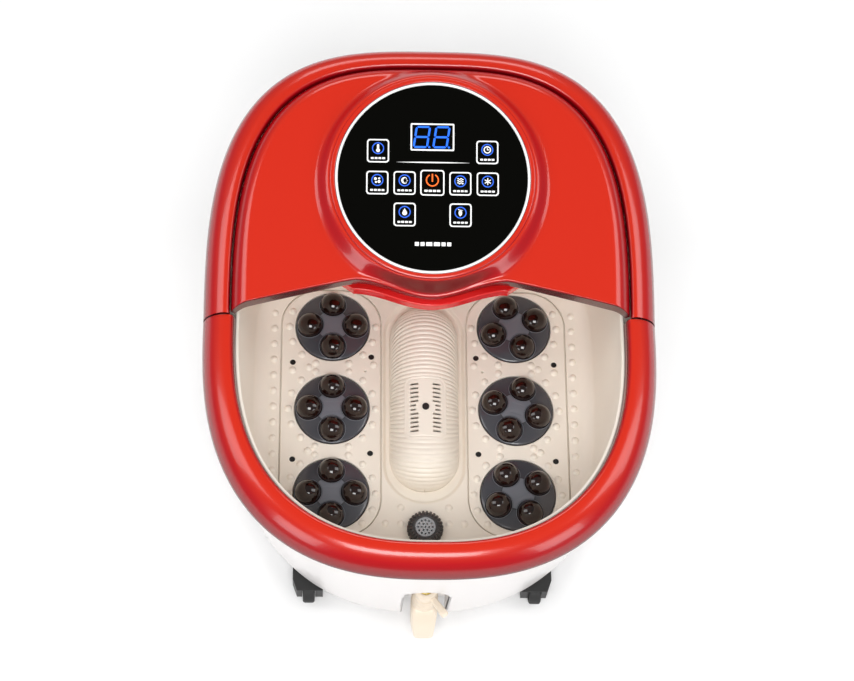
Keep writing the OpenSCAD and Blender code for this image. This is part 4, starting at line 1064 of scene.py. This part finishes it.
def shell_loop(level, inset):
    bulge = level**0.75
    top = np.array([HALF_W, FRONT, BACK]) - SHELL_TOP_INSET
    half, front, back = SHELL_BOTTOM * (1 - bulge) + top * bulge - inset
    x, y = outline(TURN, half, front, back, 2.3 + 0.2 * bulge, 2.8 + 0.2 * bulge)
    return np.column_stack([x, y, SHELL_Z + level * (SHELL_TOP + climb(y) - SHELL_Z)])


LEVELS = [0.012, 0.03, 0.06, 0.1, 0.15, 0.2, 0.28, 0.36, 0.44, 0.52, 0.6, 0.68, 0.76, 0.84, 0.92, 1.0]
foot_rows = [(0.0, 1.4), (0.0005, 0.9), (0.003, 0.35), (0.007, 0.08)]
outside = [shell_loop(level, inset) for level, inset in foot_rows] + [shell_loop(level, 0) for level in LEVELS]
inside = [shell_loop(level, WALL) for level in [0.0] + LEVELS]
shell_solid = loft("shell solid", outside, caps=True)
shell_wall = loft("shell wall", outside + inside[::-1], ring=True)


def niche_prism(grow, back_y):
    """The arched recess for the tap, as a solid running forward from back_y."""
    w = NICHE_HALF_W + grow
    arch = [(w * cos(a), NICHE_ARCH_Z + w * sin(a)) for a in np.linspace(0, pi, 49)]
    points = np.array([(-w, SHELL_Z - 5), (w, SHELL_Z - 5)] + arch)
    mesh = prism("niche", points, 0, 60)
    mesh.transform(Matrix.Translation((0, back_y * MM, 0)) @ Matrix.Rotation(pi / 2, 4, "X"))
    return mesh


hollow = niche_prism(0, NICHE_BACK)
lining = carve(carve(niche_prism(NICHE_WALL, NICHE_BACK + NICHE_WALL), [shell_solid], "INTERSECT"), [hollow])
shell = carve(shell_wall, [hollow], sharp=30)
piece("outer_shell", joined("outer_shell", [shell, lining], 30), "white_plastic")

# ---- tap ----

TAP_Y = joint_mm("tap_handle_turn")[1]
TAP_Z = 50.0
STEM_R = 4.0
OUTLET_Y, OUTLET_R, OUTLET_TOP = -236.0, 5.0, 43.0
# sections of the spout as (y, lowest z, highest z, half width)
SPOUT = [(-213, 38, 59, 11.8), (-218, 36, 61, 12), (-224, 33.6, 61, 12), (-228.5, 28.6, 59.6, 11.9),
         (-232.5, 27.1, 56.6, 11.3), (-236.5, 27, 53, 10.4), (-240, 27.2, 48, 9.6), (-242.8, 27.8, 42.6, 8.9),
         (-244.4, 29.2, 37.4, 7.8), (-245, 31.4, 34, 5.6)]


def spout_mesh():
    loops = []
    for y, low, high, half in SPOUT:
        corner = min(4.2, (high - low) / 2 - 0.1, half - 0.1)
        section = rounded_box_outline(2 * half, high - low, corner, (0, (low + high) / 2), 8)
        loops.append(np.column_stack([section[:, 0], np.full(len(section), y), section[:, 1]]))
    outlet = prism("outlet", circle(OUTLET_R, (0, OUTLET_Y), 48), 20, OUTLET_TOP)
    return carve(loft("spout", loops, caps=True, sharp=50), [outlet])


def on_y_axis(mesh, y, z):
    """Turns a lathed piece's axis to +Y, starting at (0, y, z)."""
    mesh.transform(Matrix.Translation(Vector((0, y, z)) * MM) @ Matrix.Rotation(-pi / 2, 4, "X"))
    return mesh


bonnet = [(STEM_R + 0.05, 60.5), (11.2, 60.5), (12, 61.2), (12, 66.4), (11.5, 67.0), (11.5, 67.8), (12, 68.4),
          (12, 71.0), (11.2, 72.0), (10.8, 72.4), (10.8, 75.0), (10.3, 75.5), (10.3, 76.2), (10.8, 76.8), (10.8, 79.2),
          (10.1, 80), (9.5, 80.4), (9.5, 85.2), (8.9, 86), (STEM_R + 0.05, 86)]
inlet = [(0, 0), (10, 0), (10, 10.2), (13, 10.6), (13, 13.4), (12.4, 14), (0, 14)]
throat = [(0, 38), (11.6, 38), (11.6, 60.5), (0, 60.5)]
tap_parts = [spout_mesh(), lathe("bonnet", bonnet, (0, TAP_Y), ring=True)]
tap_parts += [on_y_axis(lathe("inlet", inlet), TAP_Y, TAP_Z), lathe("throat", throat, (0, TAP_Y))]
piece("tap_body", joined("tap_body", tap_parts, 40), "cream_plastic")

HUB_Z, HUB_TOP, HUB_R, CAP_R = 86.4, 96.0, 11.3, 6.7
LEVER_TURN = radians(-54.5)
hub = [(0, 60), (STEM_R, 60), (STEM_R, HUB_Z), (HUB_R - 1.2, HUB_Z), (HUB_R, HUB_Z + 1.2), (HUB_R, HUB_TOP - 2.4),
       (HUB_R - 0.7, HUB_TOP - 0.8), (HUB_R - 2.2, HUB_TOP), (CAP_R + 0.6, HUB_TOP), (CAP_R, HUB_TOP - 0.6),
       (CAP_R, HUB_TOP - 3), (0, HUB_TOP - 3)]


def lever_mesh():
    """A bar that swells to a rounded finger end."""
    loops = []
    for along, width, low, high in ((7, 6.6, 0.6, 6.6), (12, 6.0, 0.9, 6.5), (18, 6.0, 1.0, 6.6), (24, 6.8, 0.9, 7.2),
                                    (28, 7.0, 0.9, 7.4), (29.6, 6.0, 1.5, 6.8), (30.5, 3.4, 2.6, 5.6)):
        corner = min(width, high - low) * 0.36
        section = rounded_box_outline(width, high - low, corner, (0, HUB_Z + (low + high) / 2), 6)
        loops.append(np.column_stack([np.full(len(section), along), section[:, 0], section[:, 1]]))
    mesh = loft("lever", loops, caps=True, sharp=50)
    mesh.transform(Matrix.Rotation(LEVER_TURN, 4, "Z"))
    return mesh


handle_place = at(0, TAP_Y, 0)
handle = joined("tap_handle", [lathe("hub", hub), lever_mesh()], 40)
piece("tap_handle", handle, "cream_plastic", "tap_handle", handle_place)
cap = [(0, HUB_TOP - 2.9), (CAP_R - 0.1, HUB_TOP - 2.9), (CAP_R - 0.1, HUB_TOP - 0.5), (CAP_R - 0.7, HUB_TOP + 0.1),
       (CAP_R - 2.4, HUB_TOP + 0.45), (0, HUB_TOP + 0.6)]
piece("tap_cap", lathe("tap_cap", cap), "yellow_cap", "tap_handle", handle_place)

# ---- casters ----

WHEEL_W = 11.0
HOUSING = [(-13, -5.3), (11, -5.3), (15, 6), (15, 30), (-13, 30)]
HOUSING_LOW = 7.0
HOUSING_SLOT_W, HOUSING_SLOT_L = WHEEL_W + 1.2, 33.2
wheel_names = [f"{end}_{side}_wheel" for end in ("front", "rear") for side, _ in SIDES]
wheel_places = {name: joint_mm(f"{name}_spin") for name in wheel_names}
WHEEL_R = wheel_places["front_left_wheel"][2]


def wheel_mesh():
    half = WHEEL_W / 2
    profile = [(2.05, -half), (5.4, -half), (5.9, -half + 0.9), (8.3, -half + 0.9), (8.8, -half + 0.1), (10.6, -half),
               (11.7, -half + 0.7), (WHEEL_R, -half + 2.0)]
    profile += [(WHEEL_R, 0)] + [(r, -z) for r, z in profile[::-1]]
    mesh = lathe("wheel", profile, steps=96, ring=True)
    mesh.transform(Matrix.Rotation(pi / 2, 4, "Y"))
    return mesh


def housing_mesh(x_sign, y_sign):
    points = np.array(HOUSING) * [x_sign, y_sign]
    if x_sign * y_sign < 0:
        points = points[::-1]
    body = plate("housing", points, [], HOUSING_LOW, SHELL_Z, edge=0.6)
    middle = (0, y_sign * (WHEEL_R + 1 - HOUSING_SLOT_L / 2))
    slot = rounded_box_outline(HOUSING_SLOT_W, HOUSING_SLOT_L, 0.5, middle, 3)
    return carve(body, [prism("slot", slot, -5, 2 * WHEEL_R + 0.6)])


wheel = wheel_mesh()
housings = []
for name, (x, y, z) in wheel_places.items():
    housings.append((housing_mesh(1 if x > 0 else -1, -1 if y > 0 else 1), at(x, y, 0)))
    piece(name, wheel, "wheel_rubber", name, at(x, y, z))
piece("caster_housings", joined("caster_housings", housings), "black_plastic")

# ---- stage, in metres ----

LIGHT_AIM = Vector((0, 0, 0.2))


def area_light(name, place, width, height, radiance):
    light = bpy.data.lights.new(name, "AREA")
    light.shape, light.size, light.size_y = "RECTANGLE", width, height
    light.energy = radiance * pi * width * height
    obj = bpy.data.objects.new(name, light)
    bpy.context.scene.collection.objects.link(obj)
    direction = LIGHT_AIM - Vector(place)
    obj.matrix_world = Matrix.Translation(place) @ direction.to_track_quat("-Z", "Y").to_matrix().to_4x4()
    return obj


world = bpy.data.worlds.new("studio")
bpy.context.scene.world = world
world.use_nodes = True
world.node_tree.nodes["Background"].inputs["Color"].default_value = (1, 1, 1, 1)
world.node_tree.nodes["Background"].inputs["Strength"].default_value = 0.24

FLOOR = finish("floor", (0.97, 0.97, 0.97), 0.9, specular=0.1)
floor_mesh = bpy.data.meshes.new("floor")
FLOOR_HALF = 6.0
corners = [(x * FLOOR_HALF, y * FLOOR_HALF, 0) for x, y in ((-1, -1), (1, -1), (1, 1), (-1, 1))]
floor_mesh.from_pydata(corners, [], [(0, 1, 2, 3)])
floor = bpy.data.objects.new("floor", floor_mesh)
floor_mesh.materials.append(FLOOR)
bpy.context.scene.collection.objects.link(floor)

area_light("left box", (-1.75, 0.1, 1.75), 0.9, 1.6, 2.9)
area_light("right box", (1.75, 0.1, 1.75), 0.9, 1.6, 2.9)
area_light("back box", (0, 1.9, 1.6), 1.9, 0.8, 3.6)
area_light("front left box", (-1.35, -1.45, 1.0), 0.8, 1.0, 3.6)
area_light("front right box", (1.35, -1.45, 1.0), 0.8, 1.0, 3.6)
area_light("camera box", (-0.1, -1.35, 2.25), 1.1, 0.8, 10.5)

CAMERA_FAR = 2.0
CAMERA_AIM = Vector((0, MIDDLE_Y * MM, 0.15))
CAMERA_RISE = radians(66)
CAMERA_SIDE = 0.05
CAMERA_ROLL = radians(0.5)
away = Vector((-CAMERA_SIDE, -1 / np.tan(CAMERA_RISE), 1)).normalized()
up = (Vector((0, 1, 0)) - away * away.y).normalized()
right = up.cross(away)
up_rolled = up * cos(CAMERA_ROLL) + right * sin(CAMERA_ROLL)
right_rolled = up_rolled.cross(away)
camera = bpy.data.objects.new("camera", bpy.data.cameras.new("camera"))
camera.data.lens = 92.7
camera.data.sensor_width = 36
bpy.context.scene.collection.objects.link(camera)
turn = Matrix((right_rolled, up_rolled, away)).transposed().to_4x4()
camera.matrix_world = Matrix.Translation(CAMERA_AIM + away * CAMERA_FAR) @ turn
bpy.context.scene.camera = camera
bpy.context.scene.view_settings.view_transform = "Standard"
